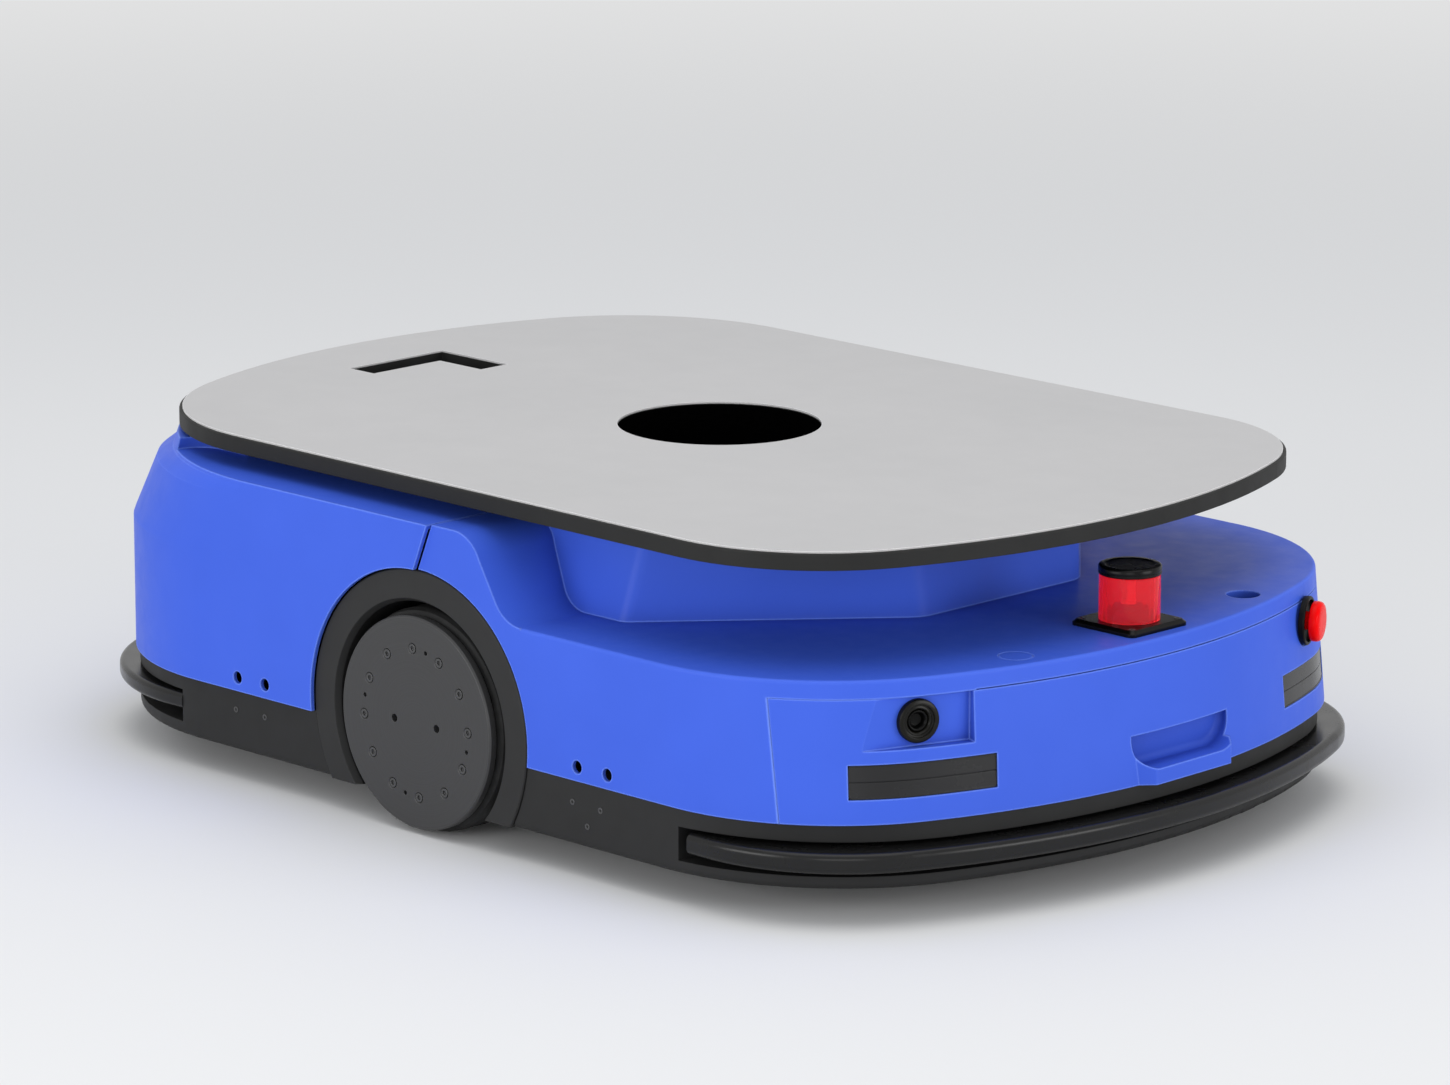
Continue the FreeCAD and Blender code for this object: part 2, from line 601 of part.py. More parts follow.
fascia = fascia.fuse(grip.common(clip))
HOOD = [(460, -POCKET_Y + 0.5), (468.5, -POCKET_Y + 0.5), (482, -POCKET_Y + 16),
        (479.5, POCKET_Y - 9), (474, POCKET_Y - 5), (460, POCKET_Y - 5)]
HOOD = [(x + NOSE_SHIFT, y + POCKET_C) for x, y in HOOD]
HOOD_Z1 = POCKET_Z0 + 14.0
hood = Part.Face(poly_round(HOOD, SPLIT_Z, [0.5, 1.5, 2.5, 1.0, 0.5, 0.5])).extrude(V(0, 0, HOOD_Z1 - SPLIT_Z))
fascia = fascia.fuse(hood)
pocket = box(POCKET_X, POCKET_X + 62, POCKET_C - POCKET_Y, POCKET_C + POCKET_Y, POCKET_Z0, POCKET_Z1)
pocket_edges = [e for e in pocket.Edges if e.BoundBox.XLength > 50 and abs(e.BoundBox.ZMin - POCKET_Z0) < 0.1]
pocket = pocket.makeFillet(POCKET_ROUND, pocket_edges)
pocket_edges = [e for e in pocket.Edges if e.BoundBox.XLength < 0.01 and abs(e.BoundBox.XMin - POCKET_X) < 0.01
                and e.BoundBox.ZMin < POCKET_Z1 - 1.0]
pocket = pocket.makeFillet(5.0, pocket_edges)
fascia = fascia.cut(pocket)
fascia = fascia.common(box(300, 600, -FASCIA_Y, FASCIA_Y, SPLIT_Z, FASCIA_Z1))
save("front_fascia", fascia)
save("window_left", window_parts["left"])
save("window_right", window_parts["right"])

# power button
power_bezel = cyl_x(POWER_R, POWER_N, POWER_N + 5.0, POWER_T, POWER_Z)
rim = [e for e in power_bezel.Edges if abs(e.BoundBox.XMin - POWER_N - 5.0) < 0.01 and e.BoundBox.XLength < 0.01]
power_bezel = power_bezel.makeFillet(1.5, rim)
power_bezel = power_bezel.fuse(cyl_x(10.9, POWER_N - 26.0, POWER_N + 1.0, POWER_T, POWER_Z))
power_bezel = power_bezel.cut(cyl_x(8.4, POWER_N - 8.0, POWER_N + 9.0, POWER_T, POWER_Z))
save("power_bezel", turned(power_bezel, POWER_DEG))
power_button = cyl_x(8.0, POWER_N - 4.5, POWER_N + 3.0, POWER_T, POWER_Z)
save("power_button", turned(power_button, POWER_DEG))

# emergency stop
estop_bezel = cyl_x(ESTOP_R, ESTOP_N, ESTOP_FACE, ESTOP_T, ESTOP_Z)
rim = [e for e in estop_bezel.Edges if abs(e.BoundBox.XMin - ESTOP_FACE) < 0.01 and e.BoundBox.XLength < 0.01]
estop_bezel = estop_bezel.makeFillet(1.2, rim)
estop_bezel = estop_bezel.fuse(cyl_x(11.1, ESTOP_N - 34.0, ESTOP_N + 1.0, ESTOP_T, ESTOP_Z))
estop_bezel = estop_bezel.cut(cyl_x(ESTOP_HEAD_R + 1.0, ESTOP_FACE - ESTOP_CUP, ESTOP_FACE + 1, ESTOP_T, ESTOP_Z))
estop_bezel = estop_bezel.cut(cyl_x(7.5, ESTOP_N - 12.0, ESTOP_FACE + 1, ESTOP_T, ESTOP_Z))
save("estop_bezel", turned(estop_bezel, ESTOP_DEG))
head_r = ESTOP_HEAD_R
head_n = ESTOP_FACE + 2.0
head_pts = [(0, ESTOP_N - 6.0), (7.1, ESTOP_N - 6.0), (7.1, head_n), (head_r - 0.8, head_n),
            (head_r, head_n + 0.8), (head_r, head_n + 4.6), (head_r - 1.4, head_n + 7.0),
            (head_r - 4.0, head_n + 8.0), (0, head_n + 8.4)]
head = Part.Face(Part.makePolygon([V(n, ESTOP_T + r, ESTOP_Z) for r, n in head_pts + [head_pts[0]]]))
head = head.revolve(V(0, ESTOP_T, ESTOP_Z), V(1, 0, 0), 360)
save("estop_button", turned(head, ESTOP_DEG))

# ---- beacon -----------------------------------------------------------------------------------
def foot(half):
    return [(BEACON_X - half, BEACON_Y - half), (BEACON_X + half, BEACON_Y - half),
            (BEACON_X + half, BEACON_Y + half), (BEACON_X - half, BEACON_Y + half)]


half = BEACON_BASE / 2.0
base = Part.Face(poly_round(foot(half), SHELF_Z, 5.0)).extrude(V(0, 0, 2.5))
base = base.fuse(Part.makeLoft([poly_round(foot(half), SHELF_Z + 2.5, 5.0),
                                poly_round(foot(half - 2.5), SHELF_Z + 5.0, 4.0)], True, True))
base = base.fuse(cyl(7.8, SHELF_Z - 14.0, SHELF_Z + 1.0, BEACON_X, BEACON_Y))
base = base.fuse(cyl(11.0, SHELF_Z + 4.0, SHELF_Z + 16.0, BEACON_X, BEACON_Y))
save("beacon_base", base)
LENS_Z0 = SHELF_Z + 5.0
LENS_Z1 = SHELF_Z + 40.0
lens = cyl(BEACON_R, LENS_Z0, LENS_Z1, BEACON_X, BEACON_Y)
lens = lens.cut(cyl(BEACON_R - 2.5, LENS_Z0 - 1, LENS_Z1 - 2.5, BEACON_X, BEACON_Y))
for i in range(16):
    a = 2 * math.pi * i / 16
    lens = lens.cut(cyl(0.9, LENS_Z0 - 1, LENS_Z1 - 3, BEACON_X + (BEACON_R - 2.5) * math.cos(a),
                        BEACON_Y + (BEACON_R - 2.5) * math.sin(a)))
save("beacon_lens", lens)
cap = cyl(BEACON_R + 0.7, LENS_Z1, SHELF_Z + 47.0, BEACON_X, BEACON_Y)
cap = cap.makeFillet(1.2, level_edges(cap, SHELF_Z + 47.0))
save("beacon_cap", cap)

# ---- battery and controller ----------------------------------------------------------------------
BATTERY_X0 = 66.0 - HALF_L
BATTERY_X1 = -LIFT_MOTOR_X - BRACKET_OUT - 9.0
BATTERY_Y = CASTER_Y - 79.0
battery = box(BATTERY_X0, BATTERY_X1, -BATTERY_Y, BATTERY_Y, PAN_Z1, 150)
battery = battery.makeFillet(6.0, [e for e in battery.Edges if e.BoundBox.ZLength > 50])
for i in (-2, -1, 0, 1, 2):
    y = i * BATTERY_Y / 3.0
    battery = battery.cut(box(BATTERY_X0 - 5, BATTERY_X1 + 4, y - 4, y + 4, 146, 160))
save("battery", battery)
CONTROL_X0 = LIFT_MOTOR_X + BRACKET_OUT + 13.0
CONTROL_X1 = HALF_L - 93.0
CONTROL_Y = CASTER_Y - 87.0
FIN_STEP = (2.0 * CONTROL_Y - 32.0) / 8.0
controller = box(CONTROL_X0, CONTROL_X1, -CONTROL_Y, CONTROL_Y, PAN_Z1, 118)
controller = controller.makeFillet(4.0, [e for e in controller.Edges if e.BoundBox.ZLength > 50])
for i in range(9):
    y = 12.0 - CONTROL_Y + i * FIN_STEP
    controller = controller.fuse(box(CONTROL_X0 + 6, CONTROL_X1 - 6, y, y + 8.0, 117, 132))
save("controller", controller)

# ---- code reader under the deck opening -------------------------------------------------------------
READER_Z1 = ROOF_Z - 37.0
reader = cyl(34, PAN_Z1, 60).fuse(cyl(24, 59, READER_Z1 - 30)).fuse(cyl(30, READER_Z1 - 31, READER_Z1))
reader = reader.cut(cyl(20, READER_Z1 - 10, READER_Z1 + 4)).cut(cyl(19, PAN_Z1 - 1, 52))
reader = reader.fuse(cyl(14, READER_Z1 - 16, READER_Z1 - 5)).fuse(cyl(13, 44, 56))
save("code_reader", reader)

# ---- drive motors and wheels ----------------------------------------------------------------------------
gear = box(-50, 50, GEAR_Y0, GEAR_Y1, PAN_Z1, AXLE_Z + 50)
gear = gear.makeFillet(16.0, [e for e in gear.Edges if e.BoundBox.YLength > 40 and e.BoundBox.ZMin > 100])
motor = cyl_y(MOTOR_R, MOTOR_Y0, GEAR_Y0 + 1)
for i in range(5):
    y = MOTOR_Y0 + 22 + i * 14.0
    motor = motor.cut(cyl_y(MOTOR_R + 1, y, y + 5).cut(cyl_y(MOTOR_R - 4, y - 1, y + 6)))
gear = gear.fuse(motor)
gear = gear.cut(cyl_y(SHAFT_R + RUN, GEAR_Y0 + 14, GEAR_Y1 + 1))
save("drive_motor_left", gear)
save("drive_motor_right", mirror_y(gear))

hub_end = COVER_Y - COVER_T
boss = GEAR_Y1 + 6.0
web = COVER_Y - 35.0
hub = revolve_y([(0, GEAR_Y0 + 14.5), (SHAFT_R, GEAR_Y0 + 14.5), (SHAFT_R, boss), (30, boss), (30, web - 20),
                 (57, web - 14), (57, TREAD_Y0), (RIM_R - 0.1, TREAD_Y0), (RIM_R - 0.1, hub_end), (57, hub_end),
                 (57, web), (30, web), (30, web + 10), (0, web + 10)])
tyre = revolve_y([(RIM_R, TREAD_Y0 + 2), (80, TREAD_Y0), (WHEEL_R - 1.6, TREAD_Y0 + 2), (WHEEL_R, TREAD_Y0 + 7),
                  (WHEEL_R, TREAD_Y0 + 20), (WHEEL_R - 2, TREAD_Y0 + 21), (WHEEL_R - 2, TREAD_Y0 + 24),
                  (WHEEL_R, TREAD_Y0 + 25), (WHEEL_R, TREAD_Y0 + 33), (WHEEL_R - 2, TREAD_Y0 + 34),
                  (WHEEL_R - 2, TREAD_Y0 + 37), (WHEEL_R, TREAD_Y0 + 38),
                  (WHEEL_R, TREAD_Y1 - 7), (WHEEL_R - 1.6, TREAD_Y1 - 2), (80, TREAD_Y1), (RIM_R, TREAD_Y1 - 2)])
disc = revolve_y([(0, hub_end), (COVER_R - 1.5, hub_end), (COVER_R, hub_end + 1.5), (COVER_R, COVER_Y - 1.4),
                  (COVER_R - 1.4, COVER_Y), (0, COVER_Y)])
screws = []
SINK = SCREW_HEAD_R - SCREW_R
for i in range(SCREW_COUNT):
    a = math.radians(SCREW_PHASE + 360.0 * i / SCREW_COUNT)
    x = SCREW_PCD_R * math.cos(a)
    z = AXLE_Z + SCREW_PCD_R * math.sin(a)
    disc = disc.cut(cyl_y(SCREW_R + SCREW_CLEAR, hub_end - 1, COVER_Y + 1, x, z))
    disc = disc.cut(Part.makeCone(SCREW_R + SCREW_CLEAR, SCREW_HEAD_R + SCREW_CLEAR, SINK,
                                  V(x, COVER_Y - SINK, z), V(0, 1, 0)))
    one = cyl_y(SCREW_R, hub_end + 0.2, COVER_Y - SINK, x, z)
    one = one.fuse(Part.makeCone(SCREW_R, SCREW_HEAD_R - 0.3, SINK - 0.3, V(x, COVER_Y - SINK, z), V(0, 1, 0)))
    screws.append(one)
for i in range(4):
    a = math.radians(DOWEL_PHASE + 90.0 * i)
    x = SCREW_PCD_R * math.cos(a)
    z = AXLE_Z + SCREW_PCD_R * math.sin(a)
    disc = disc.cut(cyl_y(DOWEL_R, COVER_Y - 6, COVER_Y + 1, x, z))
for s in (1, -1):
    disc = disc.cut(cyl_y(PULLER_R, COVER_Y - 6, COVER_Y + 1, s * PULLER_X, AXLE_Z))
screw_set = Part.makeCompound(screws)
for side, flip in (("left", False), ("right", True)):
    for name, shape in (("drive_hub", hub), ("tyre", tyre), ("wheel_cover", disc), ("cover_screws", screw_set)):
        save(name + "_" + side, mirror_y(shape) if flip else shape)


# ---- casters ---------------------------------------------------------------------------------------------
def caster_fork(px, py):
    wx = px - CASTER_TRAIL
    crown = cyl(32, 92, WELL_Z - 0.4, px, py)
    fork = crown.fuse(cyl(STEM_R, 95, WELL_Z + WELL_TOP + 5, px, py))
    fork = fork.fuse(cyl(13, WELL_Z + WELL_TOP + 0.4, WELL_Z + WELL_TOP + 6, px, py))
    gap = CASTER_W / 2.0 + 2.0
    for s in (1, -1):
        y0 = py + min(s * gap, s * (gap + 5))
        leg = Part.makePolygon([V(wx - 13, y0, CASTER_R - 8), V(wx + 13, y0, CASTER_R - 8), V(px + 24, y0, 93),
                                V(px - 26, y0, 93), V(wx - 13, y0, CASTER_R - 8)])
        leg = Part.Face(leg).extrude(V(0, 5, 0))
        fork = fork.fuse(leg)
    pin = cyl_y(CASTER_AXLE_R, py - gap - 5, py + gap + 5, wx, CASTER_R)
    return fork.fuse(pin)


def caster_wheel(px, py):
    wx = px - CASTER_TRAIL
    h = CASTER_W / 2.0
    pts = [(CASTER_AXLE_R + RUN, -h), (14, -h), (17, -h + 4), (28, -h + 4), (31, -h + 1), (CASTER_R - 3, -h + 1),
           (CASTER_R, -h + 4), (CASTER_R, h - 4), (CASTER_R - 3, h - 1), (31, h - 1), (28, h - 4), (17, h - 4),
           (14, h), (CASTER_AXLE_R + RUN, h)]
    v = [V(wx + r, py + y, CASTER_R) for r, y in pts]
    face = Part.Face(Part.makePolygon(v + [v[0]]))
    return face.revolve(V(wx, py, CASTER_R), V(0, 1, 0), 360)


PLACES = (("front_left", 1, 1), ("front_right", 1, -1), ("rear_left", -1, 1), ("rear_right", -1, -1))
for tag, sx, sy in PLACES:
    save("caster_fork_" + tag, caster_fork(sx * CASTER_X, sy * CASTER_Y))
    save("caster_wheel_" + tag, caster_wheel(sx * CASTER_X, sy * CASTER_Y))


# ---- screw jacks -------------------------------------------------------------------------------------------
def jack_tower(px, py, sy):
    y_out = 34.0
    body = box(px - TOWER_HALF, px + TOWER_HALF, py + min(-TOWER_HALF, TOWER_HALF),
               py + TOWER_HALF, TOWER_Z0, TOWER_Z1)
    wide = box(px - TOWER_HALF, px + TOWER_HALF, min(py, py + sy * y_out), max(py, py + sy * y_out),
               TOWER_Z0, TOWER_Z0 + 30)
    leg = box(px - TOWER_HALF, px + TOWER_HALF, min(py + sy * 27, py + sy * y_out),
              max(py + sy * 27, py + sy * y_out), PAN_Z1, TOWER_Z0 + 1)
    upright = [e for e in body.Edges if e.BoundBox.ZLength > 50]
    body = body.makeFillet(6.0, upright)
    tower = body.fuse(wide).fuse(leg)
    tower = tower.cut(cyl(TUBE_R + RUN, TOWER_Z0 + 8, 300, px, py))
    return tower.cut(cyl(JOURNAL_R + RUN, 0, 300, px, py))


def jack_screw(px, py):
    pts = [(0, PAN_Z1 + 0.5), (JOURNAL_R, PAN_Z1 + 0.5), (JOURNAL_R, PULLEY_Z0 - 2), (PULLEY_R + 2.4, PULLEY_Z0 - 2),
           (PULLEY_R + 2.4, PULLEY_Z0), (PULLEY_R, PULLEY_Z0), (PULLEY_R, PULLEY_Z1), (PULLEY_R + 2.4, PULLEY_Z1),
           (PULLEY_R + 2.4, PULLEY_Z1 + 2), (JOURNAL_R, PULLEY_Z1 + 2), (JOURNAL_R, TOWER_Z0 + 8.4),
           (JACK_R, TOWER_Z0 + 8.4), (JACK_R, JACK_TOP - 2), (JACK_R - 2, JACK_TOP), (0, JACK_TOP)]
    v = [V(px + r, py, z) for r, z in pts]
    return Part.Face(Part.makePolygon(v + [v[0]])).revolve(V(px, py, 0), V(0, 0, 1), 360)


for tag, sx, sy in PLACES:
    save("jack_tower_" + tag, jack_tower(sx * JACK_X, sy * JACK_Y, sy))
    save("jack_screw_" + tag, jack_screw(sx * JACK_X, sy * JACK_Y))


def belt(sx):
    pts = [(JACK_X, -JACK_Y), (LIFT_MOTOR_X, 0), (JACK_X, JACK_Y)]
    v = [V(x, y, PULLEY_Z0 + 1) for x, y in pts]
    face = Part.Face(Part.makePolygon(v + [v[0]]))
    outer = face.makeOffset2D(PULLEY_R + BELT_CLEAR + BELT_T)
    inner = face.makeOffset2D(PULLEY_R + BELT_CLEAR)
    loop = outer.extrude(V(0, 0, PULLEY_Z1 - PULLEY_Z0 - 2)).cut(inner.extrude(V(0, 0, PULLEY_Z1 - PULLEY_Z0 - 2)))
    return loop if sx > 0 else mirror_x(loop)


def lift_motor(sx):
    cx = LIFT_MOTOR_X
    m = cyl(LIFT_MOTOR_R, 90, 182, cx, 0).fuse(cyl(LIFT_MOTOR_R + 3, 90, 104, cx, 0))
    top = [e for e in level_edges(m, 182)]
    m = m.makeFillet(4.0, top)
    x0 = cx - BRACKET_IN
    x1 = cx + BRACKET_OUT
    m = m.fuse(box(x0, x1, -31, 31, 84, 90))
    m = m.fuse(box(x0, x0 + BRACKET_T, -31, 31, PAN_Z1, 85)).fuse(box(x1 - BRACKET_T, x1, -31, 31, PAN_Z1, 85))
    m = m.cut(cyl(6.0 + RUN, 80, 114, cx, 0))
    return m if sx > 0 else mirror_x(m)


def motor_pulley(sx):
    pts = [(0, PULLEY_Z0 - 2), (PULLEY_R + 2.4, PULLEY_Z0 - 2), (PULLEY_R + 2.4, PULLEY_Z0), (PULLEY_R, PULLEY_Z0),
           (PULLEY_R, PULLEY_Z1), (PULLEY_R + 2.4, PULLEY_Z1), (PULLEY_R + 2.4, PULLEY_Z1 + 2), (6, PULLEY_Z1 + 2),
           (6, 112), (0, 112)]
    v = [V(sx * LIFT_MOTOR_X + r, 0, z) for r, z in pts]
    return Part.Face(Part.makePolygon(v + [v[0]])).revolve(V(sx * LIFT_MOTOR_X, 0, 0), V(0, 0, 1), 360)


for tag, sx in (("front", 1), ("rear", -1)):
    save("lift_belt_" + tag, belt(sx))
    save("lift_motor_" + tag, lift_motor(sx))
    save("lift_pulley_" + tag, motor_pulley(sx))

# ---- deck -----------------------------------------------------------------------------------------------------
slot_cut = box(SLOT_X, SLOT_X + SLOT_W, SLOT_Y - SLOT_ARM_Y, SLOT_Y, DECK_Z0 - 16, DECK_TOP + 20)
slot_cut = slot_cut.fuse(box(SLOT_X, SLOT_X + SLOT_ARM_X, SLOT_Y - SLOT_W, SLOT_Y, DECK_Z0 - 16, DECK_TOP + 20))


def deck_slab(inset, z0, z1):
    """The deck outline: rounder corners behind, squarer ones at the nose."""
    behind = prism(grow(DECK_REAR, -inset), z0, z1).common(box(-700, 0, -400, 400, z0, z1))
    ahead = prism(grow(DECK_NOSE, -inset), z0, z1).common(box(0, 700, -400, 400, z0, z1))
    return behind.fuse(ahead).removeSplitter()


deck = deck_slab(0.0, DECK_Z0, DECK_TOP - SKIN_T)
deck = deck.makeFillet(1.2, level_edges(deck, DECK_TOP - SKIN_T))
deck = deck.fuse(cyl(DECK_HOLE_R + LINER_T, LINER_Z0, DECK_Z0 + 1.0))
deck = deck.cut(cyl(DECK_HOLE_R, 200, 300)).cut(slot_cut)
save("deck_plate", deck)
skin = deck_slab(SKIN_INSET, DECK_TOP - SKIN_T, DECK_TOP)
skin = skin.cut(cyl(DECK_HOLE_R + 0.3, 200, 300)).cut(slot_cut)
save("deck_skin", skin)

FRAME_X = JACK_X + TUBE_R + 8.0
FRAME_Y = JACK_Y + TUBE_R + 8.0
FRAME_Z0 = DECK_Z0 - FRAME_T
frame = box(-FRAME_X, FRAME_X, -FRAME_Y, FRAME_Y, FRAME_Z0, DECK_Z0)
frame = frame.makeFillet(20.0, [e for e in frame.Edges if e.BoundBox.ZLength > 5 and e.BoundBox.XLength < 1])
for s in (1, -1):
    frame = frame.fuse(box(-FRAME_X + 8, FRAME_X - 8, s * JACK_Y - 5, s * JACK_Y + 5, FRAME_Z0 - 6, FRAME_Z0 + 1))
    frame = frame.fuse(box(s * JACK_X - 5, s * JACK_X + 5, -FRAME_Y + 8, FRAME_Y - 8, FRAME_Z0 - 6, FRAME_Z0 + 1))
for x, y in corners(JACK_X, JACK_Y):
    frame = frame.fuse(cyl(TUBE_R + 8, FRAME_Z0 - 6, FRAME_Z0 + 1, x, y))
    frame = frame.fuse(cyl(TUBE_R, TUBE_Z0, FRAME_Z0 + 1, x, y))
    frame = frame.cut(cyl(TUBE_IN_R, NUT_Z1, DECK_Z0 - 3, x, y))
    frame = frame.cut(cyl(JACK_R + RUN, TUBE_Z0 - 1, NUT_Z1 + 1, x, y))
frame = frame.cut(cyl(DECK_HOLE_R + 6, 200, 300))
save("lift_frame", frame)
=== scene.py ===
# %% [markdown]
# # A low mobile robot with a lifting deck
# The real thing drives under a rack, lifts it on a flat plate and carries it
# away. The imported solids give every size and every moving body. This lesson
# lights them, gives them finishes, and adds the pieces too fine for the solids.

# %% Load the frame
import bpy, bmesh, json, math
from mathutils import Vector, Matrix


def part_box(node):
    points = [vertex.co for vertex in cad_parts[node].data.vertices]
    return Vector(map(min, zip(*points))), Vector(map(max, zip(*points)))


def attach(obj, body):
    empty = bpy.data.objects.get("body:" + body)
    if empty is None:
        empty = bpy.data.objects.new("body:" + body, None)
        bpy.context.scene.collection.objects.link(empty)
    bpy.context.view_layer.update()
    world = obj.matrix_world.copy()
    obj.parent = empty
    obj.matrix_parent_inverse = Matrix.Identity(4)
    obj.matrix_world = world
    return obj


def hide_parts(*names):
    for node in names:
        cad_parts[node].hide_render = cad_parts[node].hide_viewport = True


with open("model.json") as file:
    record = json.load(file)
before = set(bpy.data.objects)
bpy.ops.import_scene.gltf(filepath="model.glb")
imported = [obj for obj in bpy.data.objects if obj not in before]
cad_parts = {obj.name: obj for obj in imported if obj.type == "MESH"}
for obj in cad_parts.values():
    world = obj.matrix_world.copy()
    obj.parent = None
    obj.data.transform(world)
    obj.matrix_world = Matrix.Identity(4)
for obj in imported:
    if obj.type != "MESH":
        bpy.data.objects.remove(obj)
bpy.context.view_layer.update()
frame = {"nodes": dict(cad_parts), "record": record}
nodes = frame["nodes"]

# %% [markdown]
# ## Camera
# A long lens seen from the nose's right-hand corner, a little above the deck,
# keeps the sides almost parallel, as a product picture does. The camera looks
# straight along its axis, with no shift and no depth of field.

# %% Camera
AZIMUTH = math.radians(45.05)
RISE = math.radians(13.29)
ROLL = math.radians(0.09)
DISTANCE = 5.4292
LENS = 169.94
AIM_RIGHT = 0.0044
AIM_UP = 0.1690

back = Vector((math.sin(AZIMUTH) * math.cos(RISE), -math.cos(AZIMUTH) * math.cos(RISE), math.sin(RISE)))
right = Vector((math.cos(AZIMUTH), math.sin(AZIMUTH), 0.0))
up = back.cross(right)
cam_data = bpy.data.cameras.new("camera")
cam_data.lens = LENS
cam_data.sensor_width = 36.0
camera = bpy.data.objects.new("camera", cam_data)
bpy.context.scene.collection.objects.link(camera)
camera.location = back * DISTANCE + right * AIM_RIGHT + up * AIM_UP
turn = Matrix((right, up, back)).transposed()
camera.rotation_mode = "QUATERNION"
camera.rotation_quaternion = (turn @ Matrix.Rotation(ROLL, 3, "Z")).to_quaternion()
bpy.context.scene.camera = camera
bpy.context.scene.view_settings.view_transform = "Standard"
print("camera at", [round(v, 3) for v in camera.location])

# %% [markdown]
# ## Floor and light
# A photographer would use a white sweep and large soft boxes. Here a wide
# floor catches the shadow and fades to plain white far out, so no horizon
# shows. Only the camera, mirrors and clear parts see the white; the light on
# the object comes from the soft boxes and a weak sky.

# %% Floor
FLOOR_HALF = 30.0
FADE_START = 1.6
FADE_END = 5.0


def deselect():
    if bpy.context.object and bpy.context.object.mode != "OBJECT":
        bpy.ops.object.mode_set(mode="OBJECT")
    bpy.ops.object.select_all(action="DESELECT")


def nodes_of(name):
    m = bpy.data.materials.new(name)
    m.use_nodes = True
    t = m.node_tree
    t.nodes.clear()
    return m, t.nodes, t.links


deselect()
FLOOR_DROP = 0.0005
bpy.ops.mesh.primitive_grid_add(x_subdivisions=6, y_subdivisions=6, size=2 * FLOOR_HALF,
                                location=(0, 0, -FLOOR_DROP))
floor = bpy.context.object
floor.name = "floor"
bpy.ops.object.transform_apply(location=True)
m, n, l = nodes_of("studio_floor")
out = n.new("ShaderNodeOutputMaterial")
plain = n.new("ShaderNodeBsdfDiffuse")
plain.inputs["Color"].default_value = (0.80, 0.80, 0.80, 1)
glow = n.new("ShaderNodeEmission")
glow.inputs["Color"].default_value = (0.80, 0.80, 0.80, 1)
mix = n.new("ShaderNodeMixShader")
where = n.new("ShaderNodeTexCoord")
away = n.new("ShaderNodeVectorMath")
away.operation = "LENGTH"
fade = n.new("ShaderNodeMapRange")
fade.interpolation_type = "SMOOTHSTEP"
fade.inputs["From Min"].default_value = FADE_START
fade.inputs["From Max"].default_value = FADE_END
ray = n.new("ShaderNodeLightPath")
seen = n.new("ShaderNodeMath")
seen.operation = "MAXIMUM"
both = n.new("ShaderNodeMath")
both.operation = "MULTIPLY"
l.new(where.outputs["Object"], away.inputs[0])
l.new(away.outputs["Value"], fade.inputs["Value"])
l.new(ray.outputs["Is Camera Ray"], seen.inputs[0])
l.new(ray.outputs["Is Glossy Ray"], seen.inputs[1])
l.new(seen.outputs[0], both.inputs[0])
l.new(fade.outputs["Result"], both.inputs[1])
l.new(both.outputs[0], mix.inputs[0])
l.new(plain.outputs[0], mix.inputs[1])
l.new(glow.outputs[0], mix.inputs[2])
l.new(mix.outputs[0], out.inputs["Surface"])
floor.data.materials.append(m)
print("floor", floor.dimensions[:])

# %% [markdown]
# ## Sky
# The eye, mirrors and clear parts see one pale tone all round, the same as the
# far floor, so no horizon shows. The light on the robot comes from a softer sky
# and the lamps, so the backdrop's tone can change without lighting the robot.

# %% Sky
world = bpy.data.worlds.new("studio")
bpy.context.scene.world = world
world.use_nodes = True
n, l = world.node_tree.nodes, world.node_tree.links
n.clear()
out = n.new("ShaderNodeOutputWorld")
white = n.new("ShaderNodeBackground")
white.inputs["Color"].default_value = (0.80, 0.80, 0.80, 1)
white.inputs["Strength"].default_value = 1.0
soft = n.new("ShaderNodeBackground")
soft.inputs["Color"].default_value = (0.95, 0.97, 1.0, 1)
soft.inputs["Strength"].default_value = 0.68
ray = n.new("ShaderNodeLightPath")
seen = n.new("ShaderNodeMath")
seen.operation = "MAXIMUM"
any_of = n.new("ShaderNodeMath")
any_of.operation = "MAXIMUM"
mix = n.new("ShaderNodeMixShader")
l.new(ray.outputs["Is Camera Ray"], seen.inputs[0])
l.new(ray.outputs["Is Transmission Ray"], seen.inputs[1])
l.new(seen.outputs[0], any_of.inputs[0])
l.new(ray.outputs["Is Glossy Ray"], any_of.inputs[1])
l.new(any_of.outputs[0], mix.inputs[0])
l.new(soft.outputs[0], mix.inputs[1])
l.new(white.outputs[0], mix.inputs[2])
l.new(mix.outputs[0], out.inputs["Surface"])
print("sky ready")


# %% [markdown]
# ## Soft boxes
# Wide lamp panels give the covers broad, soft highlights, as in a studio. One
# hangs above, one lights the long side, one the nose, and a weak low one
# reaches in under the deck.

# %% Soft boxes
def soft_box(name, place, size, watts, aim=(0, 0, 0.1)):
    """A square lamp panel at a place, aimed at the robot."""
    data = bpy.data.lights.new(name, "AREA")
    data.shape = "RECTANGLE"
    data.size, data.size_y = size
    data.energy = watts
    lamp = bpy.data.objects.new(name, data)
    bpy.context.scene.collection.objects.link(lamp)
    lamp.location = place
    lamp.rotation_euler = (Vector(aim) - Vector(place)).to_track_quat("-Z", "Y").to_euler()
    return lamp


soft_box("top_box", (0.3, -0.3, 3.2), (3.0, 3.0), 36)
soft_box("side_box", (-0.3, -3.7, 0.8), (2.2, 1.4), 45)
soft_box("nose_box", (3.6, 0.9, 0.75), (2.0, 1.3), 36)
soft_box("low_box", (2.6, -2.6, 0.55), (1.6, 0.9), 12)

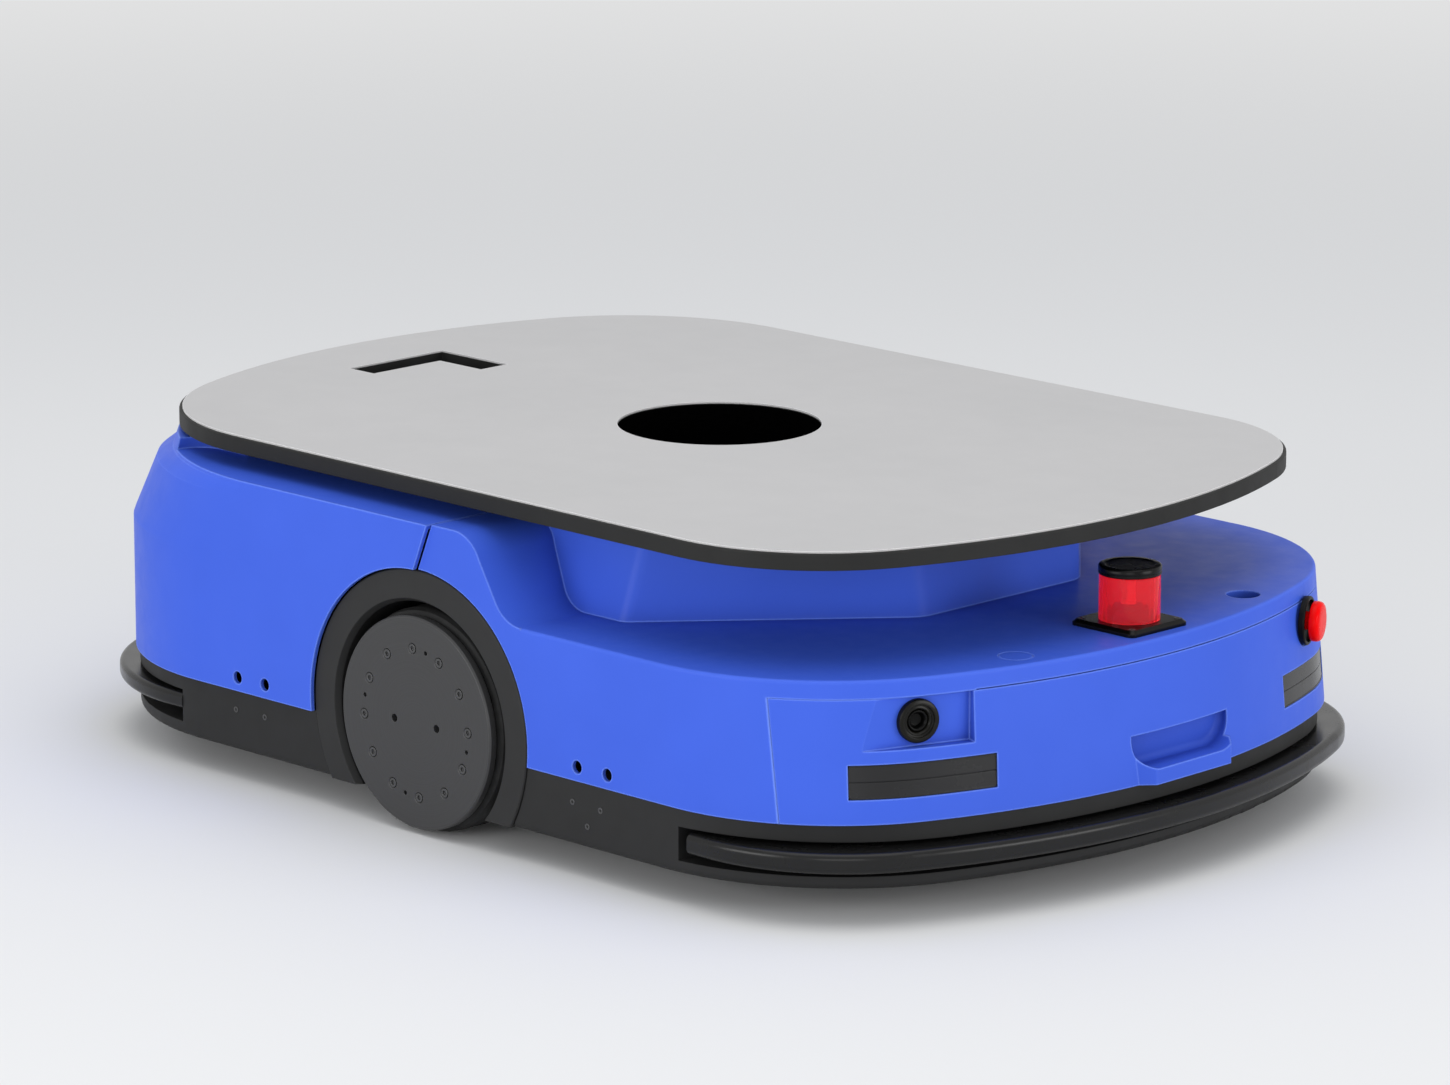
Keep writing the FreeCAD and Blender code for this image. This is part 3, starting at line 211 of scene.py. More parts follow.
# %% [markdown]
# ## How a finish is built
# Every finish here is the same short chain: a broad noise shifts the colour a
# little, a middle one shifts the gloss, and a fine one makes the grain as a
# bump. A Bevel node rounds the sharp CAD edges for the light, and the same node
# tells where an edge is, so that an edge can be painted lighter as a highlight.
# Everything reads Object coordinates, so the pattern stays with its piece.

# %% Finish helpers
def noise(m, scale, detail=2.0, rough=0.55, stretch=(1, 1, 1)):
    """A noise over the piece's own coordinates; stretch draws it out."""
    n, l = m.node_tree.nodes, m.node_tree.links
    where = n.new("ShaderNodeTexCoord")
    place = n.new("ShaderNodeMapping")
    place.inputs["Scale"].default_value = stretch
    tex = n.new("ShaderNodeTexNoise")
    tex.inputs["Scale"].default_value = scale
    tex.inputs["Detail"].default_value = detail
    tex.inputs["Roughness"].default_value = rough
    l.new(where.outputs["Object"], place.inputs["Vector"])
    l.new(place.outputs["Vector"], tex.inputs["Vector"])
    return tex.outputs["Fac"]


def spread(m, value, low, high, start=0.3, end=0.7):
    """The noise's middle range stretched to run from low to high."""
    node = m.node_tree.nodes.new("ShaderNodeMapRange")
    node.inputs["From Min"].default_value = start
    node.inputs["From Max"].default_value = end
    node.inputs["To Min"].default_value = low
    node.inputs["To Max"].default_value = high
    m.node_tree.links.new(value, node.inputs["Value"])
    return node.outputs["Result"]


def blend_tones(m, factor, tone_a, tone_b):
    """Two tones mixed by a factor; a tone is a colour or another mix."""
    n, l = m.node_tree.nodes, m.node_tree.links
    mix = n.new("ShaderNodeMix")
    mix.data_type = "RGBA"
    l.new(factor, mix.inputs["Factor"])
    for tone, socket in ((tone_a, mix.inputs["A"]), (tone_b, mix.inputs["B"])):
        if isinstance(tone, tuple):
            socket.default_value = tone + (1.0,)
        else:
            l.new(tone, socket)
    return mix.outputs["Result"]


def shader(name, metal=0.0, specular=0.4, coat=0.0, coat_rough=0.1):
    m, n, l = nodes_of(name)
    out = n.new("ShaderNodeOutputMaterial")
    p = n.new("ShaderNodeBsdfPrincipled")
    p.inputs["Metallic"].default_value = metal
    p.inputs["Specular IOR Level"].default_value = specular
    p.inputs["Coat Weight"].default_value = coat
    p.inputs["Coat Roughness"].default_value = coat_rough
    l.new(p.outputs[0], out.inputs["Surface"])
    return m, p


def grain(m, p, height, depth, round_edge=0.0):
    """Bump of a depth in metres, over edges rounded for the light."""
    n, l = m.node_tree.nodes, m.node_tree.links
    bump = n.new("ShaderNodeBump")
    bump.inputs["Strength"].default_value = 1.0
    bump.inputs["Distance"].default_value = depth
    l.new(height, bump.inputs["Height"])
    if round_edge:
        soft = n.new("ShaderNodeBevel")
        soft.samples = 4
        soft.inputs["Radius"].default_value = round_edge
        l.new(soft.outputs["Normal"], bump.inputs["Normal"])
    l.new(bump.outputs["Normal"], p.inputs["Normal"])


def edge_highlight_mask(m, radius, gain):
    """Where a painted highlight goes: near 1 on an edge and 0 on open faces."""
    n, l = m.node_tree.nodes, m.node_tree.links
    soft = n.new("ShaderNodeBevel")
    soft.samples = 4
    soft.inputs["Radius"].default_value = radius
    flat = n.new("ShaderNodeNewGeometry")
    dot = n.new("ShaderNodeVectorMath")
    dot.operation = "DOT_PRODUCT"
    l.new(soft.outputs["Normal"], dot.inputs[0])
    l.new(flat.outputs["Normal"], dot.inputs[1])
    # this factor places a painted highlight on edges, not wear
    painted_glint = n.new("ShaderNodeMapRange")
    painted_glint.inputs["From Min"].default_value = 0.995
    painted_glint.inputs["From Max"].default_value = 0.86
    painted_glint.inputs["To Min"].default_value = 0.0
    painted_glint.inputs["To Max"].default_value = gain
    l.new(dot.outputs["Value"], painted_glint.inputs["Value"])
    return painted_glint.outputs["Result"]


def painted_shade_mask(m, reach, gain):
    """Painted shade: near 1 deep in a seam or pocket of the same piece, 0 in the open."""
    n, l = m.node_tree.nodes, m.node_tree.links
    open_sky = n.new("ShaderNodeAmbientOcclusion")
    open_sky.samples = 6
    open_sky.only_local = True
    open_sky.inputs["Distance"].default_value = reach
    deep = n.new("ShaderNodeMapRange")
    deep.inputs["From Min"].default_value = 0.78
    deep.inputs["From Max"].default_value = 0.20
    deep.inputs["To Min"].default_value = 0.0
    deep.inputs["To Max"].default_value = gain
    l.new(open_sky.outputs["AO"], deep.inputs["Value"])
    return deep.outputs["Result"]


print("finish helpers ready")

# %% [markdown]
# ## Blue powder coat
# The covers are moulded and coated in a clear, slightly satin blue. Powder coat
# flows into a faint orange peel; edges get a painted highlight, recesses painted shade.

# %% Blue powder coat
BLUE = (0.053, 0.126, 0.700)
BLUE_DEEP = (0.047, 0.115, 0.655)
# a pale blue for the painted highlight on edges
BLUE_EDGE_HIGHLIGHT = (0.19, 0.32, 0.98)
# a dark blue for the painted shade in recesses
BLUE_PAINTED_SHADE = (0.016, 0.036, 0.260)


def powder_coat(name):
    m, p = shader(name, specular=0.10, coat=0.04, coat_rough=0.2)
    tone = blend_tones(m, spread(m, noise(m, 7.0, 3.0), 0.0, 1.0), BLUE, BLUE_DEEP)
    # painted shade: the blue darkens deep in seams and pockets of the piece
    tone = blend_tones(m, painted_shade_mask(m, 0.030, 0.85), tone, BLUE_PAINTED_SHADE)
    # painted highlight: edges are lightened towards a pale blue
    tone = blend_tones(m, edge_highlight_mask(m, 0.0022, 0.95), tone, BLUE_EDGE_HIGHLIGHT)
    m.node_tree.links.new(tone, p.inputs["Base Color"])
    m.node_tree.links.new(spread(m, noise(m, 60.0, 3.0), 0.40, 0.50), p.inputs["Roughness"])
    grain(m, p, noise(m, 520.0, 2.0, 0.6), 0.00002, 0.0016)
    return m


print("blue", BLUE)

# %% [markdown]
# ## Moulded plastics
# Skirts, arches and bumpers are dark grey polypropylene. The tool's spark-eroded
# grain breaks up the shine, and handling leaves slightly glossier patches.

# %% Moulded plastics
def moulded(name, tone, low, high, grain_size=900.0, depth=0.00003, specular=0.22, coat=0.0, edge=1.5):
    dark = tuple(c * 0.88 for c in tone)
    pale = tuple(min(1.0, c * edge + 0.01) for c in tone)
    m, p = shader(name, specular=specular, coat=coat, coat_rough=0.18)
    base = blend_tones(m, spread(m, noise(m, 11.0, 4.0), 0.0, 1.0), tone, dark)
    # painted highlight: edges take a paler tone, stronger for a larger edge factor
    base = blend_tones(m, edge_highlight_mask(m, 0.0012, 0.5), base, pale)
    m.node_tree.links.new(base, p.inputs["Base Color"])
    m.node_tree.links.new(spread(m, noise(m, 34.0, 4.0), low, high), p.inputs["Roughness"])
    grain(m, p, noise(m, grain_size, 2.0, 0.7), depth, 0.0012)
    return m


print("moulded plastics ready")

# %% [markdown]
# ## Metals
# Turned parts carry rings about their axle, so their noise runs on the distance
# from that axle. Blasted and cast faces have an even fine grit instead.

# %% Metals
AXLE_HEIGHT = sum(v.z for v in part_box("tyre_right")) / 2.0


def from_axle(m, finer):
    """Noise that only changes with the distance from the wheel axle."""
    n, l = m.node_tree.nodes, m.node_tree.links
    where = n.new("ShaderNodeTexCoord")
    centre = n.new("ShaderNodeMapping")
    centre.inputs["Location"].default_value = (0.0, 0.0, -AXLE_HEIGHT)
    flat = n.new("ShaderNodeVectorMath")
    flat.operation = "MULTIPLY"
    flat.inputs[1].default_value = (1.0, 0.0, 1.0)
    reach = n.new("ShaderNodeVectorMath")
    reach.operation = "LENGTH"
    rings = n.new("ShaderNodeTexNoise")
    rings.noise_dimensions = "1D"
    rings.inputs["Scale"].default_value = finer
    rings.inputs["Detail"].default_value = 3.0
    l.new(where.outputs["Object"], centre.inputs["Vector"])
    l.new(centre.outputs["Vector"], flat.inputs[0])
    l.new(flat.outputs["Vector"], reach.inputs[0])
    l.new(reach.outputs["Value"], rings.inputs["W"])
    return rings.outputs["Fac"]


def turned_metal(name, tone, low, high, metal=1.0, ring=1400.0, depth=0.000012, specular=0.4):
    m, p = shader(name, metal=metal, specular=specular)
    dark = tuple(c * 0.86 for c in tone)
    rings = from_axle(m, ring)
    base = blend_tones(m, spread(m, rings, 0.0, 1.0), tone, dark)
    # painted highlight: edges are lightened to almost twice the tone
    base = blend_tones(m, edge_highlight_mask(m, 0.0010, 0.6), base, tuple(min(1.0, c * 1.9) for c in tone))
    m.node_tree.links.new(base, p.inputs["Base Color"])
    m.node_tree.links.new(spread(m, noise(m, 26.0, 4.0), low, high), p.inputs["Roughness"])
    grain(m, p, rings, depth, 0.0010)
    return m


def gritty_metal(name, tone, low, high, metal=1.0, grit=1300.0, depth=0.00003, specular=0.4,
                 round_edge=0.001):
    m, p = shader(name, metal=metal, specular=specular)
    base = blend_tones(m, spread(m, noise(m, 9.0, 5.0), 0.0, 1.0), tone, tuple(c * 0.9 for c in tone))
    # painted highlight: edges are lightened above the base tone
    base = blend_tones(m, edge_highlight_mask(m, round_edge, 0.5), base, tuple(min(1.0, c * 1.5 + 0.02) for c in tone))
    m.node_tree.links.new(base, p.inputs["Base Color"])
    m.node_tree.links.new(spread(m, noise(m, 48.0, 4.0), low, high), p.inputs["Roughness"])
    grain(m, p, noise(m, grit, 2.0, 0.7), depth, round_edge)
    return m


print("axle at", round(AXLE_HEIGHT, 4))

# %% [markdown]
# ## Rubber, lens and lamp-black window
# The tread is dull and scuffed along its running direction. The beacon's dome
# is tinted through, so it passes light instead of reflecting it. The windows
# look black but pass infra-red, and they shine more than the plastic round them.

# %% Rubber, lens and window
def rubber(name, tone):
    m, p = shader(name, specular=0.25)
    scuff = noise(m, 40.0, 5.0, 0.65, (1.0, 6.0, 1.0))
    base = blend_tones(m, spread(m, scuff, 0.0, 1.0, 0.4, 0.75), tone, tuple(c * 1.9 + 0.01 for c in tone))
    m.node_tree.links.new(base, p.inputs["Base Color"])
    m.node_tree.links.new(spread(m, scuff, 0.62, 0.85), p.inputs["Roughness"])
    grain(m, p, noise(m, 700.0, 3.0, 0.7), 0.00006, 0.0008)
    return m


def tinted_lens(name):
    m, p = shader(name, specular=0.4)
    p.inputs["Transmission Weight"].default_value = 0.82
    p.inputs["IOR"].default_value = 1.25
    p.inputs["Emission Color"].default_value = (1.0, 0.02, 0.03, 1.0)
    p.inputs["Emission Strength"].default_value = 0.10
    clouds = spread(m, noise(m, 30.0, 2.0), 0.0, 1.0)
    base = blend_tones(m, clouds, (0.99, 0.085, 0.120), (0.96, 0.065, 0.095))
    m.node_tree.links.new(base, p.inputs["Base Color"])
    m.node_tree.links.new(spread(m, noise(m, 90.0, 2.0), 0.04, 0.09), p.inputs["Roughness"])
    grain(m, p, noise(m, 240.0, 2.0), 0.00001)
    return m


def red_gloss(name):
    m, p = shader(name, specular=0.06, coat=0.03, coat_rough=0.08)
    clouds = spread(m, noise(m, 60.0, 3.0), 0.0, 1.0)
    base = blend_tones(m, clouds, (0.90, 0.001, 0.002), (0.82, 0.001, 0.001))
    # painted highlight: edges are lightened towards a paler red
    base = blend_tones(m, edge_highlight_mask(m, 0.0008, 0.25), base, (0.95, 0.05, 0.04))
    m.node_tree.links.new(base, p.inputs["Base Color"])
    m.node_tree.links.new(spread(m, noise(m, 120.0, 3.0), 0.20, 0.30), p.inputs["Roughness"])
    grain(m, p, noise(m, 600.0, 2.0), 0.00001, 0.0006)
    return m


def deck_skin(name):
    """Matt pale sheet with a painted highlight along its edge."""
    m, p = shader(name, specular=0.25)
    clouds = spread(m, noise(m, 5.0, 4.0, 0.6), 0.0, 1.0)
    base = blend_tones(m, clouds, (0.520, 0.512, 0.512), (0.500, 0.494, 0.494))
    # painted highlight: the edge is lightened to near white
    base = blend_tones(m, edge_highlight_mask(m, 0.0011, 1.0), base, (0.94, 0.93, 0.93))
    m.node_tree.links.new(base, p.inputs["Base Color"])
    m.node_tree.links.new(spread(m, noise(m, 26.0, 4.0), 0.46, 0.55), p.inputs["Roughness"])
    grain(m, p, noise(m, 1500.0, 2.0, 0.6), 0.000015, 0.0009)
    return m


print("rubber, lens and window ready")

# %% [markdown]
# ## One finish for each slot
# The record names a slot for each solid. This list gives each slot its finish,
# and the loop hands it to the solids, whose meshes stay as they are.

# %% Finishes by slot
FINISH = {
    "cover_blue": powder_coat("cover_blue"),
    "skirt_dark": moulded("skirt_dark", (0.018, 0.018, 0.018), 0.50, 0.62),
    "arch_dark": moulded("arch_dark", (0.022, 0.022, 0.022), 0.46, 0.58),
    "bumper_dark": moulded("bumper_dark", (0.009, 0.009, 0.009), 0.20, 0.30, 600.0, 0.00002, 0.22, 0.10),
    "pan_steel": gritty_metal("pan_steel", (0.030, 0.030, 0.033), 0.45, 0.6, 0.0),
    "window_dark": moulded("window_dark", (0.013, 0.013, 0.014), 0.22, 0.30, 300.0, 0.000004,
                           0.25, 0.15, 1.2),
    "button_ring": moulded("button_ring", (0.0055, 0.0052, 0.0038), 0.22, 0.30, 500.0, 0.00001, 0.16, 0.03),
    "button_dark": moulded("button_dark", (0.0015, 0.0015, 0.0015), 0.25, 0.35, 500.0, 0.00001,
                           0.12, 0.0, 1.2),
    "stop_collar": moulded("stop_collar", (0.003, 0.003, 0.003), 0.35, 0.45, 900.0, 0.00003, 0.1),
    "stop_red": red_gloss("stop_red"),
    "beacon_black": moulded("beacon_black", (0.0015, 0.0015, 0.0015), 0.22, 0.34, 500.0, 0.00002,
                            0.15, 0.04, 4.0),
    "beacon_red": tinted_lens("beacon_red"),
    "battery_case": moulded("battery_case", (0.012, 0.012, 0.013), 0.45, 0.6),
    "controller_case": gritty_metal("controller_case", (0.50, 0.51, 0.53), 0.35, 0.45),
    "reader_case": gritty_metal("reader_case", (0.02, 0.02, 0.022), 0.35, 0.5, 0.4),
    "motor_alloy": gritty_metal("motor_alloy", (0.20, 0.20, 0.215), 0.45, 0.6, 0.9, 800.0, 0.00008),
    "hub_iron": turned_metal("hub_iron", (0.36, 0.36, 0.38), 0.30, 0.42),
    "drive_tyre": rubber("drive_tyre", (0.014, 0.014, 0.014)),
    "disc_dark": turned_metal("disc_dark", (0.048, 0.048, 0.049), 0.36, 0.44, 0.2, 900.0, 0.000008, 0.35),
    "screw_dark": gritty_metal("screw_dark", (0.060, 0.060, 0.061), 0.34, 0.44, 0.2, 900.0, 0.00001),
    "fork_steel": gritty_metal("fork_steel", (0.46, 0.46, 0.47), 0.3, 0.42),
    "caster_rubber": rubber("caster_rubber", (0.05, 0.05, 0.052)),
    "tower_alloy": gritty_metal("tower_alloy", (0.42, 0.42, 0.44), 0.34, 0.46),
    "jack_steel": gritty_metal("jack_steel", (0.50, 0.50, 0.51), 0.18, 0.28, 1.0, 600.0, 0.00001),
    "belt_rubber": rubber("belt_rubber", (0.012, 0.012, 0.012)),
    "lift_motor_dark": gritty_metal("lift_motor_dark", (0.016, 0.016, 0.018), 0.4, 0.52, 0.2),
    "pulley_alloy": gritty_metal("pulley_alloy", (0.46, 0.46, 0.48), 0.3, 0.4),
    "deck_black": moulded("deck_black", (0.016, 0.016, 0.0155), 0.50, 0.62, 1100.0, 0.00002, 0.2),
    "deck_alloy": deck_skin("deck_alloy"),
    "frame_steel": gritty_metal("frame_steel", (0.05, 0.05, 0.054), 0.4, 0.52, 0.3),
}
for part in frame["record"]["subparts"]:
    solid = nodes[part["node"]]
    solid.data.materials.clear()
    solid.data.materials.append(FINISH[part["material_slot"]])
print("finishes", len(FINISH), "on", len(nodes), "solids")

# %% [markdown]
# ## Turned pieces
# Screws, buttons and the beacon are all round, so one helper makes them as by
# hand: a circle is pulled up ring by ring and each ring is scaled to its
# radius. The finished piece is then tipped to its axis and its place applied.

# %% Turning helper
UP = Vector((0, 0, 1))


def settle(obj, name, place, direction=UP, angle=35.0):
    """Tips the piece's axis to a direction, moves it and applies both."""
    deselect()
    obj.select_set(True)
    bpy.context.view_layer.objects.active = obj
    obj.name = name
    obj.data.name = name
    obj.rotation_euler = UP.rotation_difference(Vector(direction)).to_euler()
    obj.location = place
    bpy.ops.object.transform_apply(location=True, rotation=True, scale=True)
    bpy.ops.object.shade_smooth_by_angle(angle=math.radians(angle))
    return obj


def turned(name, outline, place=(0, 0, 0), direction=UP, steps=48, ring=False):
    """A round piece from (radius, height) points; a ring closes on itself."""
    deselect()
    radius, height = outline[0]
    kind = "NOTHING" if ring else "NGON"
    bpy.ops.mesh.primitive_circle_add(vertices=steps, radius=radius, fill_type=kind, location=(0, 0, 0))
    obj = bpy.context.object
    bpy.ops.object.mode_set(mode="EDIT")
    bpy.ops.mesh.select_mode(type="VERT")
    bpy.ops.mesh.select_all(action="SELECT")
    bpy.ops.transform.translate(value=(0, 0, height))
    for r, h in outline[1:] + (outline[:1] if ring else []):
        bpy.ops.mesh.extrude_region_move(TRANSFORM_OT_translate={"value": (0, 0, h - height)})
        if abs(r - radius) > 1e-9:
            bpy.ops.transform.resize(value=(r / radius, r / radius, 1.0), center_override=(0, 0, 0))
        radius, height = r, h
    if not ring:
        bpy.ops.mesh.select_all(action="DESELECT")
        bpy.ops.mesh.select_non_manifold()
        bpy.ops.mesh.edge_face_add()
    bpy.ops.mesh.select_all(action="SELECT")
    bpy.ops.mesh.remove_doubles(threshold=1e-6)
    bpy.ops.mesh.normals_make_consistent(inside=False)
    bpy.ops.object.mode_set(mode="OBJECT")
    return settle(obj, name, place, direction)


def dress(obj, body, slot, *solids):
    """Gives a piece its finish and body, and hides the solids it stands for."""
    obj.data.materials.clear()
    obj.data.materials.append(FINISH[slot])
    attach(obj, body)
    if solids:
        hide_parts(*solids)
    return obj


def copy_to(obj, places, direction=None):
    """Copies of one piece, each with its own mesh, joined into one object."""
    made = []
    for place in places:
        twin = obj.copy()
        twin.data = obj.data.copy()
        bpy.context.scene.collection.objects.link(twin)
        turn = Matrix.Identity(4)
        if direction is not None:
            turn = UP.rotation_difference(Vector(direction)).to_matrix().to_4x4()
        twin.data.transform(Matrix.Translation(place) @ turn)
        made.append(twin)
    deselect()
    for twin in made:
        twin.select_set(True)
    bpy.context.view_layer.objects.active = made[0]
    if len(made) > 1:
        bpy.ops.object.join()
    return made[0]


print("turning helper ready")

# %% [markdown]
# ## Screws
# The wheel discs are held by twelve countersunk socket screws each, and the
# skirts by small ones. One screw is turned, its head's face is inset and pulled
# down into a round socket, and the others are copies of it.

# %% One socket screw
SCREW_CIRCLE = 0.058
SCREW_START = math.radians(3.0)
SCREW_COUNT = 12


def socket_screw(name, head, shank, length, socket):
    """A countersunk screw standing on +Z, its head's face at height zero."""
    cone = head - shank
    screw = turned(name, [(shank, -length), (shank, -cone - 0.0002), (head, -0.0002), (head, 0.0)], steps=24)
    bpy.ops.object.mode_set(mode="EDIT")
    bpy.ops.mesh.select_mode(type="FACE")
    bpy.ops.mesh.select_all(action="DESELECT")
    mesh = bmesh.from_edit_mesh(screw.data)
    for face in mesh.faces:
        face.select_set(face.normal.z > 0.9 and face.calc_center_median().z > -0.0001)
    bmesh.update_edit_mesh(screw.data)
    bpy.ops.mesh.inset(thickness=(head - socket) * 0.45)
    bpy.ops.mesh.inset(thickness=(head - socket) * 0.45)
    bpy.ops.mesh.extrude_region_move(TRANSFORM_OT_translate={"value": (0, 0, -0.0015)})
    bpy.ops.transform.resize(value=(0.92, 0.92, 1.0))
    bpy.ops.mesh.select_all(action="SELECT")
    bpy.ops.mesh.normals_make_consistent(inside=False)
    bpy.ops.object.mode_set(mode="OBJECT")
    return screw


disc_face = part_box("wheel_cover_left")[1].y
pattern = socket_screw("disc_screw", 0.0036, 0.0021, 0.0070, 0.0017)
for side, sign in (("left", 1), ("right", -1)):
    spots = []
    for i in range(SCREW_COUNT):
        a = SCREW_START + 2 * math.pi * i / SCREW_COUNT
        spots.append((SCREW_CIRCLE * math.cos(a), sign * (disc_face - 0.0002),
                      AXLE_HEIGHT + SCREW_CIRCLE * math.sin(a)))
    screws = copy_to(pattern, spots, (0, sign, 0))
    screws.name = "disc_screws_" + side
    dress(screws, "wheel_" + side, "screw_dark", "cover_screws_" + side)
bpy.data.objects.remove(pattern)
print("disc screws", 2 * SCREW_COUNT)

# %% [markdown]
# ## Skirt screws
# A few smaller screws of the same kind hold the skirts. They stand almost flush
# with the skirt, so they show as small marks low on the side.

# %% Skirt screws
SKIRT_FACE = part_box("skirt_front")[1].y
SKIRT_SPOTS = [(-0.213, 0.057), (-0.179, 0.057), (0.167, 0.057), (0.197, 0.056), (0.183, 0.041)]
pattern = socket_screw("skirt_screw", 0.0024, 0.0014, 0.0040, 0.0011)
for side, sign in (("left", 1), ("right", -1)):
    spots = [(x, sign * (SKIRT_FACE + 0.0003), z) for x, z in SKIRT_SPOTS]
    screws = copy_to(pattern, spots, (0, sign, 0))
    screws.name = "skirt_screws_" + side
    dress(screws, "chassis", "screw_dark")
bpy.data.objects.remove(pattern)
print("skirt screws", 2 * len(SKIRT_SPOTS), "on faces at", round(SKIRT_FACE, 4))

# %% [markdown]
# ## Power button
# A dark ring stands in the recess, with a dished cap in it. The ring has a
# rounded outer edge, a step, an inner lip and a bore that the cap slides in.

# %% Power button
def corner_axis(degrees, reach, along, height):
    """A point and a direction on a face turned about the vertical axis."""
    a = math.radians(degrees)
    d = Vector((math.cos(a), math.sin(a), 0))
    return d * reach + Vector((-d.y, d.x, 0)) * along + UP * height, d


POWER_TURN = -20.0
POWER_REACH, POWER_ALONG, POWER_HEIGHT = 0.4652, -0.058, 0.147
power_place, power_way = corner_axis(POWER_TURN, POWER_REACH, POWER_ALONG, POWER_HEIGHT)
ring_outline = [(0.0165, 0.0000), (0.0165, 0.0032), (0.0160, 0.0044), (0.0150, 0.0049), (0.0128, 0.0050),
                (0.0124, 0.0046), (0.0122, 0.0030), (0.0112, 0.0027), (0.0104, 0.0030), (0.0098, 0.0031),
                (0.0090, 0.0024), (0.0085, 0.0016), (0.0085, -0.0075), (0.0106, -0.0075), (0.0106, -0.0260),
                (0.0109, -0.0262), (0.0109, -0.0005), (0.0160, -0.0004)]
ring = turned("power_ring", ring_outline, power_place, power_way, 64, True)
dress(ring, "chassis", "button_ring", "power_bezel")
cap_outline = [(0.0080, -0.0044), (0.0080, 0.0012), (0.0076, 0.0019), (0.0068, 0.0020), (0.0059, 0.0012),
               (0.0050, -0.0008), (0.0044, -0.0026), (0.0004, -0.0029)]
cap = turned("power_cap_dished", cap_outline, power_place, power_way, 48)
dress(cap, "power_cap", "button_dark", "power_button")
print("power button at", [round(v, 4) for v in power_place])

# %% [markdown]
# ## Stop button
# A red mushroom head on a black collar. The head's rim is rolled under and its
# crown is almost flat, which a lathe-like outline gives at once.

# %% Stop button
STOP_TURN = 26.0
STOP_REACH, STOP_ALONG, STOP_HEIGHT = 0.4795, -0.003, 0.1505
stop_place, stop_way = corner_axis(STOP_TURN, STOP_REACH, STOP_ALONG, STOP_HEIGHT)
head_outline = [(0.0070, -0.0100), (0.0070, 0.0018), (0.0120, 0.0021), (0.0146, 0.0022), (0.0153, 0.0026),
                (0.0156, 0.0034), (0.0156, 0.0060), (0.0154, 0.0074), (0.0148, 0.0087), (0.0137, 0.0096),
                (0.0120, 0.0101), (0.0085, 0.0103), (0.0004, 0.0104)]
head = turned("stop_head_crowned", head_outline, stop_place, stop_way, 64)
dress(head, "stop_head", "stop_red", "estop_button")
print("stop button at", [round(v, 4) for v in stop_place])

# %% [markdown]
# ## Scanner windows
# Each corner looks out through a curved smoked strip. The strip's corners are
# rounded, the pane sits a little lower than its rim, and a fine seam runs along
# its middle where the two halves of the strip meet.

# %% Scanner windows
def window_pane(side, degrees):
    """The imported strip, with round corners, a rim and a middle seam."""
    solid = nodes["window_" + side]
    low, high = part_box("window_" + side)
    way = Vector((math.cos(math.radians(degrees)), math.sin(math.radians(degrees)), 0))
    pane = solid.copy()
    pane.data = solid.data.copy()
    bpy.context.scene.collection.objects.link(pane)
    deselect()
    pane.hide_render = False
    pane.hide_viewport = False
    pane.select_set(True)
    bpy.context.view_layer.objects.active = pane
    if pane.data.has_custom_normals:
        bpy.ops.mesh.customdata_custom_splitnormals_clear()
    bpy.ops.object.mode_set(mode="EDIT")
    bpy.ops.mesh.select_mode(type="EDGE")
    bpy.ops.mesh.select_all(action="SELECT")
    bpy.ops.mesh.remove_doubles(threshold=1e-6)
    bpy.ops.mesh.dissolve_limited(angle_limit=math.radians(0.5))
    bpy.ops.mesh.select_all(action="DESELECT")
    mesh = bmesh.from_edit_mesh(pane.data)
    for edge in mesh.edges:
        run = edge.verts[1].co - edge.verts[0].co
        level = abs(run.z) < 1e-5
        edge.select_set(level and run.length > 0.001 and abs(run.normalized().dot(way)) > 0.9)
    corners = sum(1 for edge in mesh.edges if edge.select)
    bmesh.update_edit_mesh(pane.data)
    bpy.ops.mesh.bevel(offset=0.0024, segments=4)
    bpy.ops.mesh.select_mode(type="FACE")

    def front_faces(z0, z1):
        bpy.ops.mesh.select_all(action="DESELECT")
        inner = bmesh.from_edit_mesh(pane.data)
        reach = max(v.co.dot(way) for v in inner.verts)
        for face in inner.faces:
            middle = face.calc_center_median()
            outward = face.normal.dot(way) > 0.85 and middle.dot(way) > reach - 0.012
            face.select_set(outward and z0 < middle.z < z1)
        bmesh.update_edit_mesh(pane.data)

    front_faces(low.z, high.z)
    bpy.ops.mesh.inset(thickness=0.0007)
    bpy.ops.mesh.extrude_region_move(TRANSFORM_OT_translate={"value": way * -0.0004})
    middle = (low.z + high.z) / 2.0
    for height in (middle - 0.0003, middle + 0.0003):
        bpy.ops.mesh.select_all(action="SELECT")
        bpy.ops.mesh.bisect(plane_co=(0, 0, height), plane_no=(0, 0, 1))
    front_faces(middle - 0.0003, middle + 0.0003)
    bpy.ops.mesh.extrude_region_move(TRANSFORM_OT_translate={"value": way * -0.0008})
    bpy.ops.mesh.select_all(action="SELECT")
    bpy.ops.mesh.normals_make_consistent(inside=False)
    bpy.ops.object.mode_set(mode="OBJECT")
    bpy.ops.object.shade_smooth_by_angle(angle=math.radians(25))
    pane.name = "pane_" + side
    pane.data.name = pane.name
    dress(pane, "chassis", "window_dark", "window_" + side)
    print("pane", side, "corners", corners, "faces", len(pane.data.polygons))


window_pane("right", -27.5)
window_pane("left", 27.5)

# %% [markdown]
# ## Beacon
# A red tube with vertical prisms inside stands on a square foot. Inside it are a
# dark dome and a pale lamp post, which show through the tint. The tube glows
# faintly, so that it reads as lit through. A black cap closes it.

